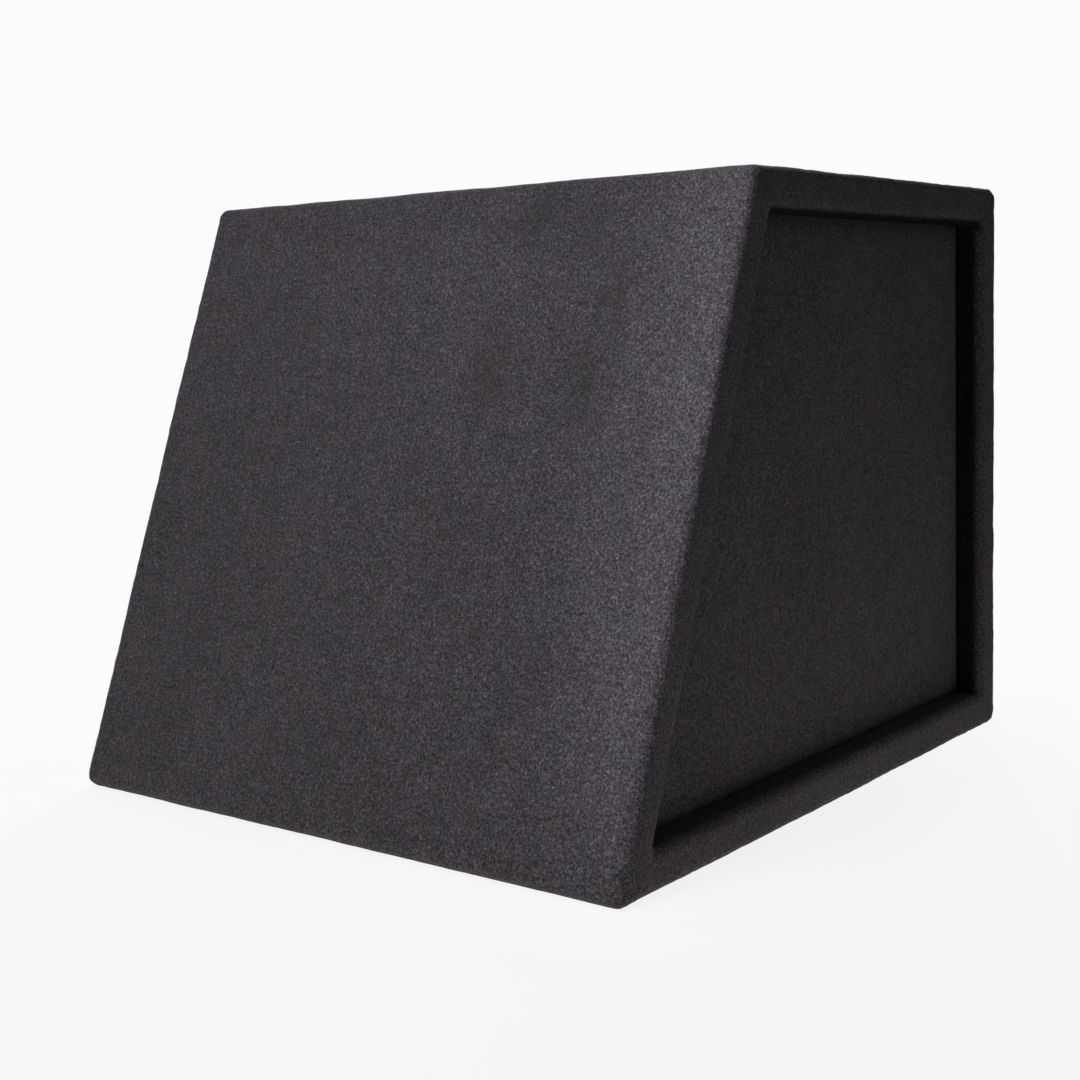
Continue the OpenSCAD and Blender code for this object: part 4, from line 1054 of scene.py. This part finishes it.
def build_wadding(name, node, axis_along, axis_out, glued_end, seed, rows=72, columns=64):
    """A lofted pad of wadding that fills its CAD block, flat on the board it is glued to."""
    corners = np.array([v.co for v in frame["nodes"][node].data.vertices])
    axes = np.array([(1, 0, 0), axis_along, axis_out], float)
    spans = [((corners @ a).min(), (corners @ a).max()) for a in axes]
    middle = [(high + low) / 2 for low, high in spans]
    half = [(high - low) / 2 for low, high in spans]
    u, v = np.meshgrid(np.linspace(-1, 1, rows), np.linspace(-1, 1, columns), indexing="ij")
    x = middle[0] + half[0] * u * (1 - 0.03 * (1 - v ** 2) * np.abs(u) ** 3)
    s = middle[1] + half[1] * v * (1 - 0.03 * (1 - u ** 2) * np.abs(v) ** 3)
    flat = np.stack([x.ravel(), s.ravel(), np.zeros(x.size)], 1)
    lumps = 0.1 * smooth_noise(flat, 42 * MM, seed) + 0.05 * smooth_noise(flat, 15 * MM, seed + 1)
    crown = (1 - np.abs(u) ** 7) * (1 - np.abs(v) ** 7)
    loft = np.clip(crown.ravel() ** 0.5 * (0.82 + lumps), 0.12, 1)
    glued, free = spans[2][glued_end], spans[2][1 - glued_end]
    points = []
    for level in (glued + (free - glued) * loft, np.full(len(flat), glued)):
        points.append(np.column_stack([flat[:, :2], level]) @ axes)
    make_piece(name, np.concatenate(points), sheet_faces(rows, columns), "cabinet", [node], "wadding")


# ---- CAD nodes that stay
def angle_smoothing():
    """A shared modifier that shades smooth and keeps edges over a set angle crisp."""
    group = bpy.data.node_groups.new("smooth_by_angle", "GeometryNodeTree")
    for way in ("INPUT", "OUTPUT"):
        group.interface.new_socket("Geometry", in_out=way, socket_type="NodeSocketGeometry")
    new, link = group.nodes.new, group.links.new
    start, end = new("NodeGroupInput"), new("NodeGroupOutput")
    faces, edges = new("GeometryNodeSetShadeSmooth"), new("GeometryNodeSetShadeSmooth")
    faces.domain, edges.domain = "FACE", "EDGE"
    edges.inputs["Shade Smooth"].default_value = False
    angle = new("GeometryNodeInputMeshEdgeAngle")
    compare = new("ShaderNodeMath")
    compare.operation = "GREATER_THAN"
    compare.inputs[1].default_value = SMOOTH_ANGLE
    link(start.outputs[0], faces.inputs["Geometry"])
    link(faces.outputs["Geometry"], edges.inputs["Geometry"])
    link(angle.outputs["Unsigned Angle"], compare.inputs[0])
    link(compare.outputs["Value"], edges.inputs["Selection"])
    link(edges.outputs["Geometry"], end.inputs[0])
    return group


def finish_cad_nodes():
    """Materials, softened edges and smooth shading for every CAD node that is shown."""
    group = angle_smoothing()
    for name, node in frame["nodes"].items():
        if node.hide_render:
            continue
        paint(node, MATERIALS[SLOTS[name]])
        custom = node.data.attributes.get("custom_normal")
        if custom:
            node.data.attributes.remove(custom)
        node.modifiers.new("weld", "WELD").merge_threshold = 1e-6
        flatten = node.modifiers.new("flatten", "DECIMATE")
        flatten.decimate_type = "DISSOLVE"
        flatten.angle_limit = FLAT_ANGLE
        node.modifiers.new("smooth", "NODES").node_group = group
        if name in BEVELS:
            bevel = node.modifiers.new("soft_edges", "BEVEL")
            bevel.width = BEVELS[name]
            bevel.segments = 2
            bevel.limit_method = "ANGLE"
            bevel.angle_limit = SMOOTH_ANGLE
            bevel.harden_normals = True


# ---- stage, lights and camera
def build_floor():
    """A wide round floor in a pale colour."""
    border = [(FLOOR_RADIUS * math.cos(a), FLOOR_RADIUS * math.sin(a), 0) for a in even_turns(96)]
    floor = link_mesh("floor", border, [range(len(border))])
    paint(floor, stage(new_material("pale_floor"), FLOOR_COLOUR))


def build_world():
    """Weak even light from all round, behind which the camera sees the backdrop's colour."""
    world = bpy.data.worlds.new("studio")
    bpy.context.scene.world = world
    n = Nodes(world, "Background")
    n.set(Color=WHITE, Strength=AMBIENT)
    seen = n.node("Background", {"Color": BACKDROP}).outputs[0]
    camera_ray = n.node("LightPath").outputs["Is Camera Ray"]
    shown = n.mix_shader(camera_ray, n.surface.outputs["Background"], seen)
    n.put(n.tree.nodes["World Output"].inputs["Surface"], shown)


def soft_light(name, place, target, size, power):
    """A flat lamp of a width and height, aimed at a point."""
    lamp = bpy.data.lights.new(name, "AREA")
    lamp.shape = "RECTANGLE"
    lamp.size, lamp.size_y = size
    lamp.energy = power
    light = add_object(name, lamp)
    light.location = place
    light.rotation_euler = (Vector(target) - Vector(place)).to_track_quat("-Z", "Y").to_euler()
    light.visible_camera = False


def build_lights():
    """Lamps close over the slope, and a key and two fills further off."""
    for name, share, rise, off, size, power in SLOPE_LAMPS:
        foot = Vector((-share * HALF_WIDTH, SLOPE_POINT.y, SLOPE_POINT.z))
        spot = foot + Vector(SLOPE_UP) * rise
        soft_light(name, spot + Vector(SLOPE_OUT) * off, spot, size, power)
    for name, place, size, power in FAR_LAMPS:
        soft_light(name, place, (0, 0, HEIGHT / 2), size, power)


def build_camera():
    """The camera at the photographed angle."""
    camera = bpy.data.cameras.new("camera")
    camera.lens = CAMERA_LENS
    camera.shift_x, camera.shift_y = CAMERA_SHIFT
    camera.clip_start = 0.01
    eye = add_object("camera", camera)
    up = CAMERA_RIGHT.cross(CAMERA_FORWARD).normalized()
    turn = Matrix((CAMERA_RIGHT, up, -CAMERA_FORWARD)).transposed()
    eye.matrix_world = Matrix.Translation(CAMERA_PLACE) @ turn.to_4x4()
    bpy.context.scene.camera = eye
    bpy.context.scene.view_settings.view_transform = "Standard"


build_wrap()
build_side_felt("left_side_carpet", -1, 21)
build_side_felt("right_side_carpet", 1, 25)
build_cone()
build_dust_cap()
build_surround()
build_spider()
build_leads()
build_round_gasket("basket_gasket", "mounting_gasket", 129 * MM, 0, 2 * MM)
build_round_gasket("trim_ring", "trim_gasket", 130.5 * MM, 7.22 * MM, 10.2 * MM)
build_cup_gasket()
build_wadding("back_pad", "back_wadding", SLOPE_UP, SLOPE_OUT, 1, 31)
build_wadding("bottom_pad", "bottom_wadding", (0, 1, 0), (0, 0, 1), 0, 35)
finish_cad_nodes()
build_floor()
build_world()
build_lights()
build_camera()
